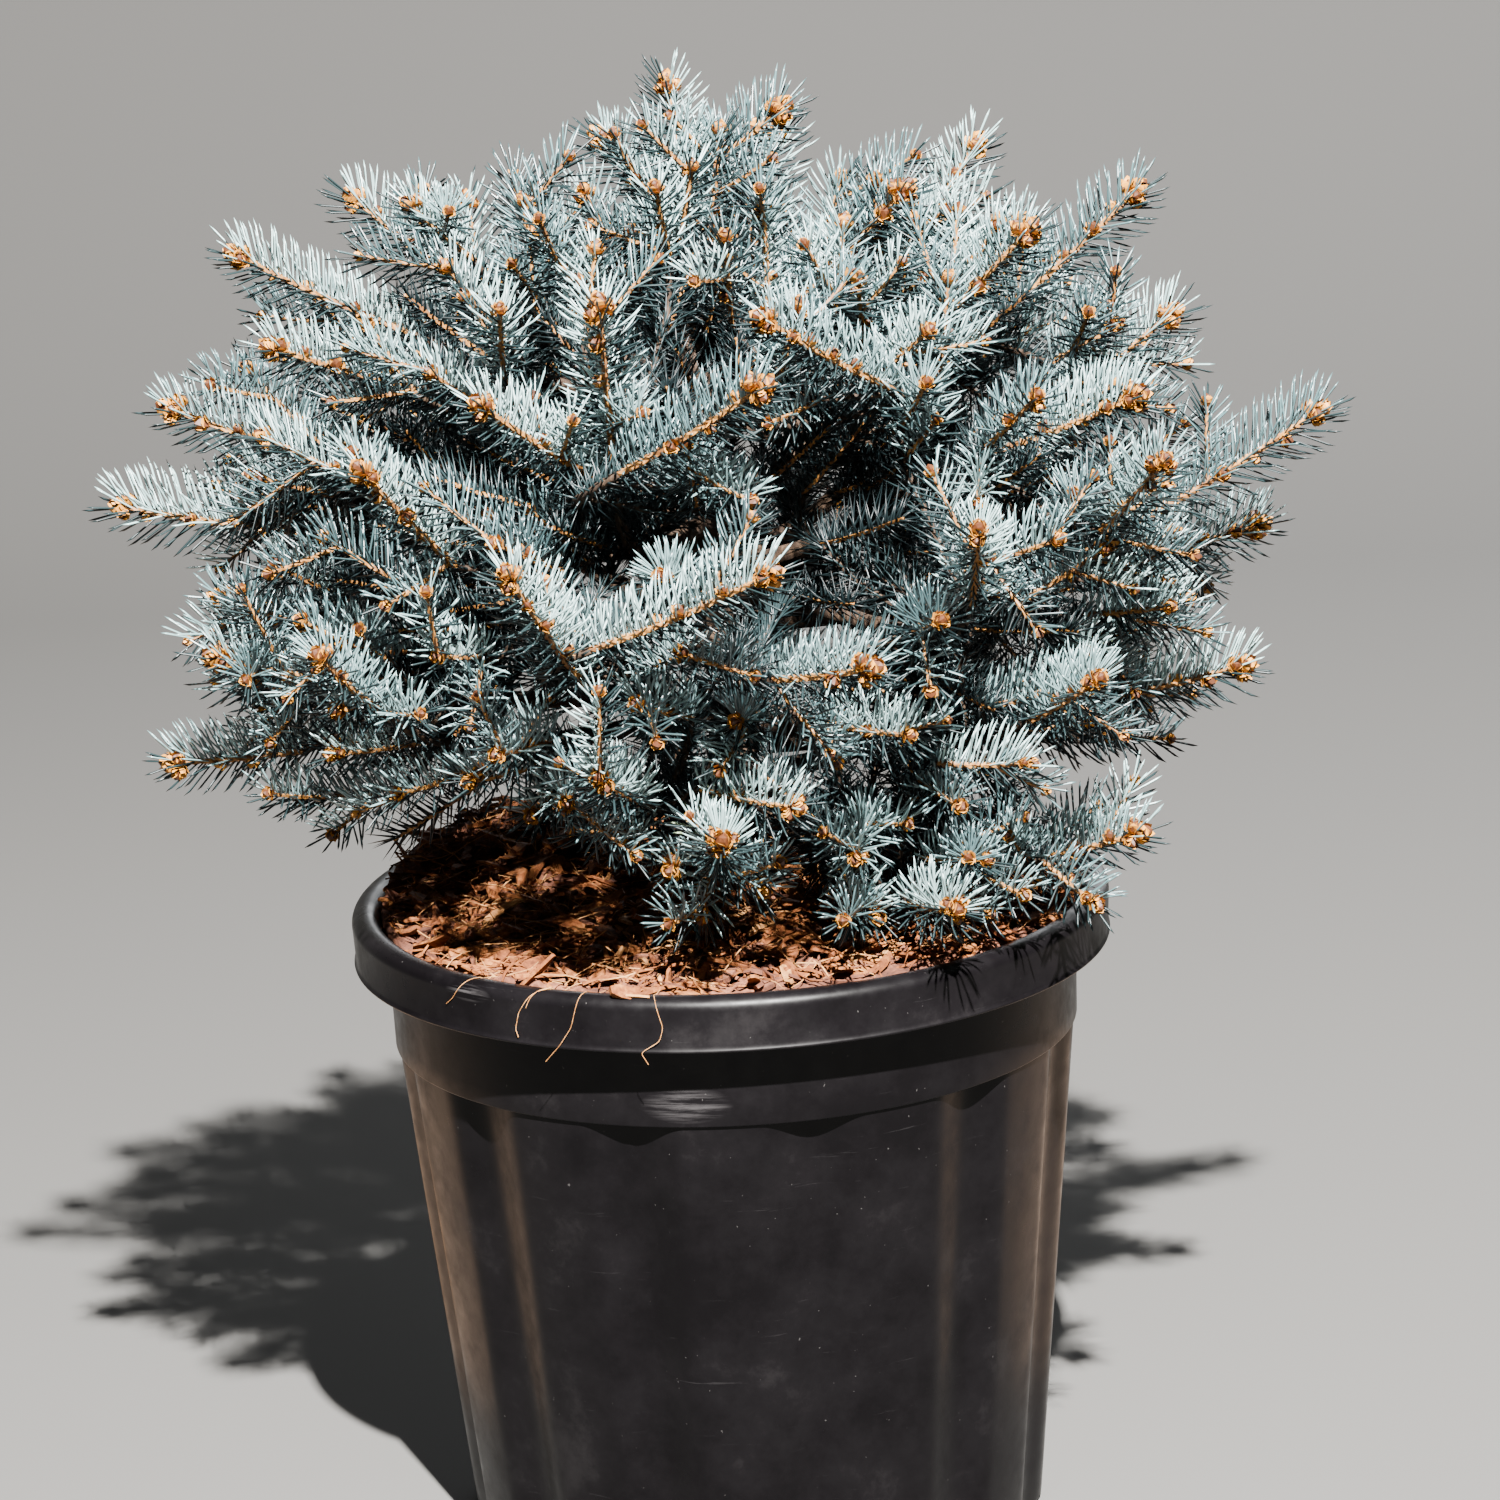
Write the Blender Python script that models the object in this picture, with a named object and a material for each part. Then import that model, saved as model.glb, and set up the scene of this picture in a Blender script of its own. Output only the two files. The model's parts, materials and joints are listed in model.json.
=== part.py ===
"""Potted globe blue spruce: a fluted pot, bark mulch, a trunk, boughs and masses of needled shoots.

Metres, +Z up. The origin is the centre of the pot's flat underside, and the plant's front faces -Y.
Azimuths turn from +X towards +Y, so the front is at -90 degrees.
"""
from math import acos, atan2, ceil, cos, degrees, exp, pi, radians, sin, sqrt
from random import Random

import bmesh
import bpy
import numpy as np

MM = 0.001
CLEARANCE = 0.3 * MM

# Pot
POT_HEIGHT = 0.345
LIP_RADIUS = 0.200
LIP_HEIGHT = 0.028
LIP_WIDTH = 0.015
LIP_ROUND = 0.0065
BAND_RADIUS = 0.182
BAND_HEIGHT = 0.045
BODY_TOP_RADIUS = 0.1795
BODY_FOOT_RADIUS = 0.153
DRAFT = 0.001
FOOT_BEVEL = 0.003
LIP_EDGE = 0.002
WALL = 0.0035
FLUTES = 12
FLUTE_AZIMUTH = -78
FLUTE_WIDTH = 15.5
FLUTE_FLOOR_WIDTH = 5.5
FLUTE_DEPTH = 0.0065
LIP_TURNS = (0, 30, 60, 90)
LIP_INNER_TURNS = (60, 0)
POT_SHARP_ANGLE = 35

# Mulch
MULCH_EDGE_DROP = 0.004
MULCH_RISE = 0.006
MULCH_SLACK = 0.8 * MM
MULCH_LUMP = 0.004
MULCH_FLAT_RADIUS = 0.036
MULCH_RINGS = ((0.150, 0.4), (0.095, 0.8))
STEP_ROOM = (0.002, 0.010)
HEAP_HEIGHT = 0.021
HEAP_PLACE = (-0.127, 0.079)
HEAP_SIZE = 0.070

# Trunk
TRUNK_FOOT = (0.004, 0.000)
TRUNK_TIP = (-0.012, 0.040, 0.650)
TRUNK_BEND = 0.008
TRUNK_RADIUS = 0.016
TRUNK_TIP_RADIUS = 0.0045
FLARE_RADIUS = 0.026
FLARE_HEIGHT = 0.035
FLARE_LOBES = 5
LOBE_SHARE = 0.12
LOBED_RINGS = 3
TRUNK_SIDES = 16
TRUNK_RINGS = 10
RING_CROWDING = 1.4
LEAN_STEP = 0.02
TRUNK_SEGMENTS = 11
TRUNK_SHARP_ANGLE = 50

# Boughs and twigs
BOUGH_RADIUS = 0.0068
HIGH_BOUGH_RADIUS = 0.0046
BOUGH_TIP_RADIUS = 0.0040
BOUGH_SIDES = 6
BOUGH_STEPS = 4
BOUGH_SHORTEST = 0.045
BOUGH_SHARP_ANGLE = 62
LOWEST_BOUGH = 0.13
HIGHEST_BOUGH = 0.96
STEM_LENGTH = 0.080
STEM_RADIUS = 0.0042
STEM_TIP_RADIUS = 0.0034
STEM_STEP = 0.022
TWIG_RADIUS = 0.0017
TWIG_STEP = 0.030
LIMB_MARGIN = 0.0012
LINE_SAMPLE = 0.004
LIMB_PULL = 0.38
LIMB_STEPS = 24
TOP_PULL = 0.010
TOP_STEPS = 8
LIMB_TRIES = 126
PLACES_A_TURN = 14
PLACE_STEP = 0.012
TURN_STEP = 9
POT_ROOM = 0.002
FORK_ANGLE = 48
FORK_ANGLE_WEIGHT = 0.05
FORK_PLACES = 16
FORK_ROOM = 0.014
FORK_START = 0.006
FORK_END = 0.004
TWIG_PULL = 0.35
TWIG_ALONG_STEM = 0.3

# Shoots and needles
CORE_RADIUS = 0.0034
CORE_TIP_RADIUS = 0.0026
SHOOT_SAG = 0.04
SHORTEST_SHOOT_STEPS = 3
BUD_LENGTH = 0.008
NEEDLE_LENGTH = 0.025
NEEDLE_LEAN = 40
NEEDLE_PITCH = 0.0185
NEEDLE_MARGIN = 0.0008
NEEDLE_SAMPLES = (0.25, 0.5, 0.75, 1)
RING_TURN = 73
ODD_WAY = (0.31, 0.17, 0.93)

# Crown
CROWN_CENTRE = (-0.005, 0.0, 0.530)
CROWN_SEED = 41
TIP_COUNT = 250
TIP_SPACING = 7.5
TIP_REACH = (0.80, 0.92)
TIP_JITTER = 0.08
SHOOT_LENGTH = (0.048, 0.074)
SHOOT_LIFT = 0.35
SHOOT_LEAN = 0.5
SHOOT_TRIES = (1, 0.85, 0.7)
CELL_RADIUS = 27
REACH_SHARPNESS = 14
UNDERSIDE = 0.395
LOW_FRONT = (-118, -12)
DIP_WAY = (135, 50)
DIP_WIDTH = 28
DIP_DEPTH = 0.070
GOLDEN_ANGLE = pi * (3 - sqrt(5))

# Each mass of needles has one to three leading shoots. A leading shoot's tip lies at an azimuth and an
# elevation from the crown's centre, in degrees, and at a reach in mm. The shoot heads to a second azimuth,
# with a rise in degrees, and has a length in mm.
LEADERS = {
    "top": ((99, 79, 249, 180, 84, 95), (27, 74, 236, 0, 36, 90), (133, 72, 226, 160, 48, 85)),
    "upper_right": ((-24, 57, 232, -33, 42, 115),),
    "upper_back_right": ((24, 49, 264, 35, 45, 85),),
    "right_shoulder": ((2, 37, 298, 0, 41, 95), (7, 23, 281, 8, 34, 90)),
    "long_right": ((-27, 42, 265, -31, 42, 150),),
    "right_front": ((-24, 20, 265, -34, 22, 110), (-35, 14, 291, -60, 38, 80)),
    "far_right": ((-3, 11, 334, 0, 30, 120), (8, -2, 304, 20, 8, 70)),
    "low_right": ((-8, -13, 294, -15, 15, 80),),
    "low_right_front": ((-46, -6, 280, -62, 28, 80),),
    "front_right": ((-62, 12, 290, -88, 40, 85),),
    "front_crossing": ((-82, 36, 273, -139, 30, 105),),
    "front_upright": (
        (-102, 40, 266, -93, 68, 115),
        (-117, 28, 266, -136, 34, 100),
        (-130, 20, 272, -125, 42, 100),
    ),
    "left_shoulder": ((177, 48, 263, 180, 42, 90),),
    "upper_left": ((-175, 36, 293, -171, 29, 105), (-155, 30, 273, -148, 22, 95)),
    "far_left": ((-174, 19, 293, 180, 22, 85), (-176, 8, 309, 180, 12, 75)),
    "low_left": ((-161, -5, 271, -150, 20, 75), (-174, -18, 304, 180, -2, 75)),
    "low_left_front": ((-135, 0, 270, -115, 36, 85),),
    "front_forked": ((-82, 10, 287, -27, 24, 115), (-109, 11, 291, -122, 49, 100)),
    "front_high": ((-81, 28, 286, -33, 30, 105),),
    "front_low": ((-72, -1, 274, -45, 13, 75),),
    "bottom_left_front": ((-103, -13, 253, -107, 25, 75), (-89, -21, 256, -87, 25, 65)),
    "bottom_right": ((-32, -26, 288, -30, 18, 75),),
    "bottom_front": ((-59, -32, 274, -70, 12, 70),),
}

# The back of the crown, which has no leading shoots of its own in the table, is filled by a rule.
BACK_MASSES = 7
BACK_AZIMUTH = 30
BACK_SWEEP = 125
BACK_ELEVATION = -15
BACK_CLIMB = 12
BACK_REACH = 292
BACK_FLATTENING = 45
BACK_SHOOT = 85
BACK_RISE = 22
BACK_RISE_GAIN = 0.55

# Deep hollows between masses: azimuth, elevation and radius, in degrees.
HOLLOWS = ((-73, 7, 8), (-50, 2, 5))

COLOURS = {
    "pot": (0.012, 0.012, 0.013),
    "mulch": (0.110, 0.040, 0.020),
    "bark": (0.130, 0.075, 0.045),
    "needles": (0.330, 0.470, 0.500),
}
ROUGHNESS = {"pot": 0.38, "mulch": 0.95, "bark": 0.85, "needles": 0.60}


def start_empty():
    """Remove whatever the scene holds."""
    for old in list(bpy.data.objects):
        bpy.data.objects.remove(old, do_unlink=True)


def material(name, finish):
    """A plain Principled material for one node."""
    made = bpy.data.materials.new(name)
    made.use_nodes = True
    shader = made.node_tree.nodes["Principled BSDF"]
    shader.inputs["Base Color"].default_value = (*COLOURS[finish], 1)
    shader.inputs["Roughness"].default_value = ROUGHNESS[finish]
    shader.inputs["Metallic"].default_value = 0
    return made


def add_object(name, mesh_builder, finish, collection=None):
    """Turn a bmesh into a named object with its own material."""
    mesh = bpy.data.meshes.new(name)
    mesh_builder.to_mesh(mesh)
    mesh_builder.free()
    made = bpy.data.objects.new(name, mesh)
    made.data.materials.append(material(name, finish))
    (collection or bpy.context.scene.collection).objects.link(made)
    return made


def unit(vector):
    return vector / np.linalg.norm(vector)


def heading(azimuth, elevation):
    """The unit vector at an azimuth and an elevation in degrees."""
    across = cos(radians(elevation))
    return np.array((
        across * cos(radians(azimuth)),
        across * sin(radians(azimuth)),
        sin(radians(elevation)),
    ))


def segment_distances(points, starts, ends):
    """Distance from every point to every segment."""
    along = ends - starts
    offset = points[:, None, :] - starts[None, :, :]
    share = (offset * along).sum(axis=2) / np.maximum((along * along).sum(axis=1), 1e-12)
    share = np.clip(share, 0, 1)
    return np.linalg.norm(offset - share[:, :, None] * along, axis=2)


# Pot and mulch

def column_angles():
    """Angle and share of the flute depth of each column round the pot: four columns to a flute."""
    half_width = FLUTE_WIDTH / 2
    half_floor = FLUTE_FLOOR_WIDTH / 2
    columns = []
    for flute in range(FLUTES):
        centre = FLUTE_AZIMUTH + flute * 360 / FLUTES
        for offset, share in ((-half_width, 0), (-half_floor, 1), (half_floor, 1), (half_width, 0)):
            columns.append((radians(centre + offset), share))
    return columns


def turned_rings(builder, rows):
    """A ring of vertices for each row of height, radius and whether the flutes reach it."""
    rings = []
    for height, radius, fluted in rows:
        ring = []
        for angle, share in column_angles():
            reach = radius - FLUTE_DEPTH * share * fluted
            ring.append(builder.verts.new((reach * cos(angle), reach * sin(angle), height)))
        rings.append(ring)
    return rings


def skin(builder, rings):
    """Faces between rings of equal count, closed by a flat cap at each end."""
    count = len(rings[0])
    for low, high in zip(rings, rings[1:]):
        for i in range(count):
            j = (i + 1) % count
            builder.faces.new((low[i], low[j], high[j], high[i]))
    builder.faces.new(rings[0][::-1])
    builder.faces.new(rings[-1])


def pot_step():
    """Height of the step under the band."""
    return POT_HEIGHT - LIP_HEIGHT - BAND_HEIGHT


def add_pot():
    """Flat foot, fluted wall, plain band and a rolled lip, with the hollow inside."""
    step = pot_step()
    under_lip = POT_HEIGHT - LIP_HEIGHT
    rows = [
        (0, BODY_FOOT_RADIUS - FOOT_BEVEL, 1),
        (FOOT_BEVEL, BODY_FOOT_RADIUS, 1),
        (step, BODY_TOP_RADIUS, 1),
        (step, BAND_RADIUS - DRAFT, 0),
        (under_lip, BAND_RADIUS, 0),
        (under_lip, LIP_RADIUS - DRAFT, 0),
        (under_lip + LIP_EDGE, LIP_RADIUS, 0),
    ]
    for turn in LIP_TURNS:
        rows.append((
            POT_HEIGHT - LIP_ROUND * (1 - sin(radians(turn))),
            LIP_RADIUS - LIP_ROUND * (1 - cos(radians(turn))),
            0,
        ))
    for turn in LIP_INNER_TURNS:
        rows.append((
            POT_HEIGHT - LIP_ROUND * (1 - sin(radians(turn))),
            LIP_RADIUS - LIP_WIDTH + LIP_ROUND * (1 - cos(radians(turn))),
            0,
        ))
    rows += [
        (under_lip, BAND_RADIUS - WALL, 0),
        (step + WALL + LIP_EDGE, BAND_RADIUS - DRAFT - WALL, 0),
        (step + WALL, BODY_TOP_RADIUS - WALL, 1),
        (FOOT_BEVEL + WALL, BODY_FOOT_RADIUS - WALL, 1),
    ]
    builder = bmesh.new()
    skin(builder, turned_rings(builder, rows))
    pot = add_object("pot", builder, "pot")
    pot.data.shade_smooth()
    pot.data.set_sharp_from_angle(angle=radians(POT_SHARP_ANGLE))
    return pot


def mulch_top():
    """Height of the flat patch of mulch that the trunk stands on."""
    return POT_HEIGHT - MULCH_EDGE_DROP + MULCH_RISE


def heap_rise(x, y):
    """How much higher the mulch lies in the heap at the back left."""
    gap = (x - HEAP_PLACE[0]) ** 2 + (y - HEAP_PLACE[1]) ** 2
    return HEAP_HEIGHT * np.exp(-gap / HEAP_SIZE ** 2)


def add_mulch():
    """Bark mulch that fills the pot, rises a little towards the trunk and is heaped at the back left."""
    step = pot_step()
    under_lip = POT_HEIGHT - LIP_HEIGHT
    edge = POT_HEIGHT - MULCH_EDGE_DROP
    rows = [
        (FOOT_BEVEL + WALL + CLEARANCE, BODY_FOOT_RADIUS - WALL - MULCH_SLACK, 1),
        (step + WALL + STEP_ROOM[0], BODY_TOP_RADIUS - WALL - MULCH_SLACK, 1),
        (step + STEP_ROOM[1], BAND_RADIUS - DRAFT - WALL - MULCH_SLACK, 0),
        (under_lip, BAND_RADIUS - WALL - MULCH_SLACK, 0),
        (edge, LIP_RADIUS - LIP_WIDTH - MULCH_SLACK, 0),
    ]
    rows += [(edge + MULCH_RISE * share, radius, 0) for radius, share in MULCH_RINGS]
    rows.append((mulch_top(), MULCH_FLAT_RADIUS, 0))
    builder = bmesh.new()
    rings = turned_rings(builder, rows)
    lumps = Random(CROWN_SEED)
    for ring in rings[-3:-1]:
        for vertex in ring:
            vertex.co.z += lumps.uniform(-MULCH_LUMP, MULCH_LUMP)
    for ring in rings[-4:-1]:
        for vertex in ring:
            vertex.co.z += heap_rise(vertex.co.x, vertex.co.y)
    skin(builder, rings)
    return add_object("mulch", builder, "mulch")


# Trunk

def trunk_axis(share):
    """A point on the leaning, gently bent axis, from the cut at the mulch to the tip."""
    foot = np.array((*TRUNK_FOOT, mulch_top() + CLEARANCE))
    tip = np.array(TRUNK_TIP)
    bend = np.array((TRUNK_BEND, -TRUNK_BEND, 0)) * sin(pi * share)
    return foot + (tip - foot) * share + bend


def trunk_radius(share):
    """Even taper above the root flare."""
    height = share * (TRUNK_TIP[2] - mulch_top())
    taper = TRUNK_RADIUS + (TRUNK_TIP_RADIUS - TRUNK_RADIUS) * share
    flare = max(0, 1 - height / FLARE_HEIGHT) ** 2
    return taper + (FLARE_RADIUS - TRUNK_RADIUS) * flare


def add_trunk():
    """Level rings from the flat cut, lobed at the root flare, up to the tip."""
    builder = bmesh.new()
    rings = []
    for ring_index in range(TRUNK_RINGS + 1):
        share = (ring_index / TRUNK_RINGS) ** RING_CROWDING
        centre = trunk_axis(share)
        radius = trunk_radius(share)
        lobe_share = LOBE_SHARE * max(0, 1 - ring_index / LOBED_RINGS)
        ring = []
        for side in range(TRUNK_SIDES):
            angle = 2 * pi * side / TRUNK_SIDES
            reach = radius * (1 + lobe_share * (cos(FLARE_LOBES * angle) - 1))
            ring.append(builder.verts.new((
                centre[0] + reach * cos(angle),
                centre[1] + reach * sin(angle),
                centre[2],
            )))
        rings.append(ring)
    skin(builder, rings)
    trunk = add_object("trunk", builder, "bark")
    trunk.data.shade_smooth()
    trunk.data.set_sharp_from_angle(angle=radians(TRUNK_SHARP_ANGLE))
    return trunk


# Growth

class Branch:
    """A limb or twig: its axis and radii, where its needles start and the ways its ends face."""

    def __init__(self, points, radii, mass, needles_from=None, first_way=None, last_way=None):
        self.points = np.array(points)
        self.radii = np.array(radii)
        self.mass = mass
        self.needles_from = needles_from
        self.first_way = first_way
        self.last_way = last_way

    def segments(self):
        """Starts, ends, radii and needle flags of the axis's segments."""
        thick = np.maximum(self.radii[:-1], self.radii[1:])
        needled = np.zeros(len(thick), bool)
        if self.needles_from is not None:
            needled[self.needles_from:] = True
        return self.points[:-1], self.points[1:], thick, needled


def bezier(start, first, second, end, steps):
    """Points along a cubic curve."""
    made = []
    for step in range(steps + 1):
        t = step / steps
        made.append(
            start * (1 - t) ** 3
            + first * 3 * t * (1 - t) ** 2
            + second * 3 * t * t * (1 - t)
            + end * t ** 3
        )
    return np.array(made)


def lengths_along(points):
    """Distance from the first point to each point, along the line."""
    steps = np.linalg.norm(np.diff(points, axis=0), axis=1)
    return np.concatenate(([0], np.cumsum(steps)))


def ways_along(points):
    """The unit tangent at each point of a line."""
    ways = np.gradient(points, axis=0)
    return ways / np.linalg.norm(ways, axis=1)[:, None]


def part_of_line(points, start, end, steps):
    """Evenly spaced points on a line, between two distances along it."""
    along = lengths_along(points)
    wanted = np.linspace(start, end, steps + 1)
    return np.stack([np.interp(wanted, along, points[:, axis]) for axis in range(3)], axis=1)


def finely(points):
    """The same line with a point every few millimetres."""
    total = lengths_along(points)[-1]
    return part_of_line(points, 0, total, max(1, ceil(total / LINE_SAMPLE)))


def shoot_line(tip, direction, length):
    """The axis of one shoot, from its foot to its tip, curving up a little."""
    foot = tip - direction * length
    sag = np.array((0, 0, -SHOOT_SAG * length))
    middle = (foot + tip) / 2 + sag
    steps = max(SHORTEST_SHOOT_STEPS, ceil(length / NEEDLE_PITCH))
    return bezier(foot, (foot + 2 * middle) / 3, (tip + 2 * middle) / 3, tip, steps)


def above_pot(points, margin):
    """Whether points keep off the lip and the mulch."""
    inside = np.hypot(points[:, 0], points[:, 1]) < LIP_RADIUS + margin
    floor = mulch_top() + heap_rise(points[:, 0], points[:, 1]) + margin
    return not np.any(inside & (points[:, 2] < floor))


def dip(way):
    """How far the crown's surface falls in along a way, round the gap at its top left."""
    angle = degrees(acos(min(1, way.dot(heading(*DIP_WAY)))))
    return DIP_DEPTH * exp(-(angle / DIP_WIDTH) ** 2)


class Crown:
    """Every limb and shoot of the plant, with the rule that keeps them apart."""

    def __init__(self):
        self.centre = np.array(CROWN_CENTRE)
        self.branches = []
        self.boughs = {}
        self.masses = {}
        self.leader_tips = []
        self.add_trunk_segments()
        plan = self.plan()
        places = np.linspace(LOWEST_BOUGH, HIGHEST_BOUGH, len(plan) - 1)
        for name, place in zip(plan, (*places, HIGHEST_BOUGH)):
            self.add_limb(name, plan[name], place)
        self.add_side_shoots()

    def plan(self):
        """The table's masses and the back's, from the lowest foot of a leading shoot to the highest."""
        plan = dict(LEADERS)
        for index in range(BACK_MASSES):
            azimuth = BACK_AZIMUTH + BACK_SWEEP * ((index * GOLDEN_ANGLE / (2 * pi)) % 1)
            elevation = BACK_ELEVATION + BACK_CLIMB * index
            rise = BACK_RISE + BACK_RISE_GAIN * elevation
            reach = BACK_REACH - BACK_FLATTENING * sin(radians(elevation))
            reach -= dip(heading(azimuth, elevation)) / MM
            plan[f"back_{index + 1}"] = ((azimuth, elevation, reach, azimuth, rise, BACK_SHOOT),)
        return dict(sorted(plan.items(), key=lambda item: self.foot_height(item[1][0])))

    def foot_height(self, row):
        """How high a leading shoot starts above the crown's centre."""
        _, elevation, reach, _, rise, length = row
        return reach * sin(radians(elevation)) - length * sin(radians(rise))

    def add_trunk_segments(self):
        shares = np.linspace(0, 1, TRUNK_SEGMENTS + 1)
        points = [trunk_axis(share) for share in shares]
        radii = [trunk_radius(share) for share in shares]
        self.trunk = Branch(points, radii, "trunk")
        self.branches.append(self.trunk)

    def clear(self, points, radius, ignore=()):
        """Whether a line keeps its distance from every branch but the ignored ones."""
        if not above_pot(points, radius + POT_ROOM):
            return False
        for other in self.branches:
            if other in ignore:
                continue
            starts, ends, thick, _ = other.segments()
            gap = segment_distances(points, starts, ends) - thick - radius
            if gap.min() < LIMB_MARGIN:
                return False
        return True

    def limb_line(self, share, azimuth, foot, direction):
        """A curve from the trunk's bark to a leading shoot's foot, and the way it leaves the bark."""
        centre = trunk_axis(share)
        lean = unit(trunk_axis(min(1, share + LEAN_STEP)) - trunk_axis(share - LEAN_STEP))
        out = np.array((cos(azimuth), sin(azimuth), 0))
        out = unit(out - lean * out.dot(lean))
        start = centre + out * (trunk_radius(share) + CLEARANCE)
        pull = LIMB_PULL * np.linalg.norm(foot - start)
        return bezier(start, start + out * pull, foot - direction * pull, foot, LIMB_STEPS), out

    def add_limb(self, name, rows, place):
        """The bough, the stem and the leading shoots of one mass, near a place up the trunk from 0 to 1."""
        azimuth, elevation, reach, turn, rise, length = rows[0]
        tip = self.centre + heading(azimuth, elevation) * reach * MM
        direction = heading(turn, rise)
        shoot = shoot_line(tip, direction, length * MM)
        foot = shoot[0]
        if name == "top":
            start_way = np.array((0, 0, 1))
            start = trunk_axis(1) + start_way * CLEARANCE
            line = bezier(start, start + start_way * TOP_PULL, foot - direction * TOP_PULL, foot, TOP_STEPS)
        else:
            line, start_way = self.free_limb_line(name, place, foot, direction)
        total = lengths_along(line)[-1]
        bough_length = total - STEM_LENGTH
        stem_start = 0
        stem_way = start_way
        if bough_length >= BOUGH_SHORTEST:
            ends = (bough_length - LINE_SAMPLE, bough_length + LINE_SAMPLE)
            before, after = part_of_line(line, *ends, 1)
            stem_way = unit(after - before)
            bough_line = part_of_line(line, 0, bough_length, BOUGH_STEPS)
            radii = np.linspace(self.bough_radius(place), BOUGH_TIP_RADIUS, BOUGH_STEPS + 1)
            bough = Branch(bough_line, radii, "bough_" + name, first_way=start_way, last_way=stem_way)
            self.boughs[name] = bough
            self.branches.append(bough)
            stem_start = bough_length
        stem_steps = max(2, ceil((total - stem_start) / STEM_STEP))
        stem_line = part_of_line(line, stem_start, total, stem_steps)
        stem_line[0] += stem_way * CLEARANCE * (stem_start > 0)
        self.join_stem_and_shoot(name, stem_line, shoot, stem_way)
        for row in rows[1:]:
            self.add_leading_shoot(name, row)

    def free_limb_line(self, name, place, foot, direction):
        """Try places up and round the trunk until a limb touches no other."""
        to_foot = foot - trunk_axis(place)
        straight_out = np.arctan2(to_foot[1], to_foot[0])
        radius = self.bough_radius(place)
        for step in range(LIMB_TRIES):
            share = place + (-1) ** step * PLACE_STEP * (step % PLACES_A_TURN // 2)
            azimuth = straight_out + (-1) ** step * radians(TURN_STEP) * (step // PLACES_A_TURN)
            share = min(max(share, LOWEST_BOUGH), HIGHEST_BOUGH)
            line, out = self.limb_line(share, azimuth, foot, direction)
            if self.clear(finely(line), radius, ignore=(self.trunk,)):
                return line, out
        raise ValueError(f"no free way for the limb of {name}")

    def bough_radius(self, place):
        """Boughs are thinner higher up the trunk."""
        return BOUGH_RADIUS + (HIGH_BOUGH_RADIUS - BOUGH_RADIUS) * place

    def join_stem_and_shoot(self, name, stem_line, shoot, stem_way):
        """One branch of the stem and the first leading shoot, with needles on the shoot."""
        points = np.concatenate((stem_line, shoot[1:]))
        stem_radii = np.linspace(STEM_RADIUS, STEM_TIP_RADIUS, len(stem_line))
        shoot_radii = np.linspace(CORE_RADIUS, CORE_TIP_RADIUS, len(shoot) - 1)
        radii = np.concatenate((stem_radii, shoot_radii))
        made = Branch(points, radii, name, len(stem_line) - 1, stem_way)
        self.masses[name] = [made]
        self.branches.append(made)
        self.note_leader(name, shoot[-1])

    def note_leader(self, name, tip):
        """Keep the way to a leading shoot's tip, and its reach with the dip filled in."""
        from_centre = tip - self.centre
        way = unit(from_centre)
        self.leader_tips.append((name, way, np.linalg.norm(from_centre) + dip(way)))

    def add_leading_shoot(self, name, row):
        """A second or third leading shoot, which has to find its place."""
        azimuth, elevation, reach, turn, rise, length = row
        tip = self.centre + heading(azimuth, elevation) * reach * MM
        self.note_leader(name, tip)
        if not self.add_shoot(name, tip, heading(turn, rise), length * MM):
            raise ValueError(f"no free way for a leading shoot of {name}")

    def add_shoot(self, name, tip, direction, length):
        """A shoot on a twig from its mass's stem, at the best fork that keeps it clear of everything."""
        stem = self.masses[name][0]
        stem_line = stem.points[:stem.needles_from + 1]
        last_fork = lengths_along(stem_line)[-1] - FORK_END
        places = part_of_line(stem_line, FORK_START, last_fork, FORK_PLACES)
        ways = ways_along(places)
        for share in SHOOT_TRIES:
            shoot = shoot_line(tip, direction, length * share)
            to_foot = shoot[0] - places
            reaches = np.linalg.norm(to_foot, axis=1)
            angles = np.arccos(np.clip((to_foot * ways).sum(axis=1) / reaches, -1, 1))
            costs = reaches + FORK_ANGLE_WEIGHT * np.abs(angles - radians(FORK_ANGLE))
            for best in np.argsort(costs)[::2]:
                branch = self.forked_branch(name, places[best], ways[best], shoot, direction)
                if self.branch_fits(branch):
                    self.masses[name].append(branch)
                    self.branches.append(branch)
                    return True
        return False

    def forked_branch(self, name, fork, stem_way, shoot, direction):
        """A twig that leaves a stem at a slant and turns into the shoot."""
        to_foot = shoot[0] - fork
        reach = np.linalg.norm(to_foot)
        leaving = unit(to_foot + stem_way * reach * TWIG_ALONG_STEM)
        pull = reach * TWIG_PULL
        steps = max(1, round(reach / TWIG_STEP))
        twig = bezier(fork, fork + leaving * pull, shoot[0] - direction * pull, shoot[0], steps)
        twig_radii = np.full(len(twig), TWIG_RADIUS)
        shoot_radii = np.linspace(CORE_RADIUS, CORE_TIP_RADIUS, len(shoot) - 1)
        points = np.concatenate((twig, shoot[1:]))
        return Branch(points, np.concatenate((twig_radii, shoot_radii)), name, len(twig) - 1)

    def branch_fits(self, branch):
        """Whether a forked branch keeps off every other branch, beyond the fork on its own stem."""
        fine = finely(branch.points)
        sisters = self.masses[branch.mass]
        if not self.clear(fine, CORE_RADIUS, ignore=sisters):
            return False
        beyond_fork = fine[np.linalg.norm(fine - fine[0], axis=1) > FORK_ROOM]
        for sister in sisters:
            starts, ends, thick, _ = sister.segments()
            gap = segment_distances(beyond_fork, starts, ends) - thick - CORE_RADIUS
            if gap.min() < LIMB_MARGIN:
                return False
        return True

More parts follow.
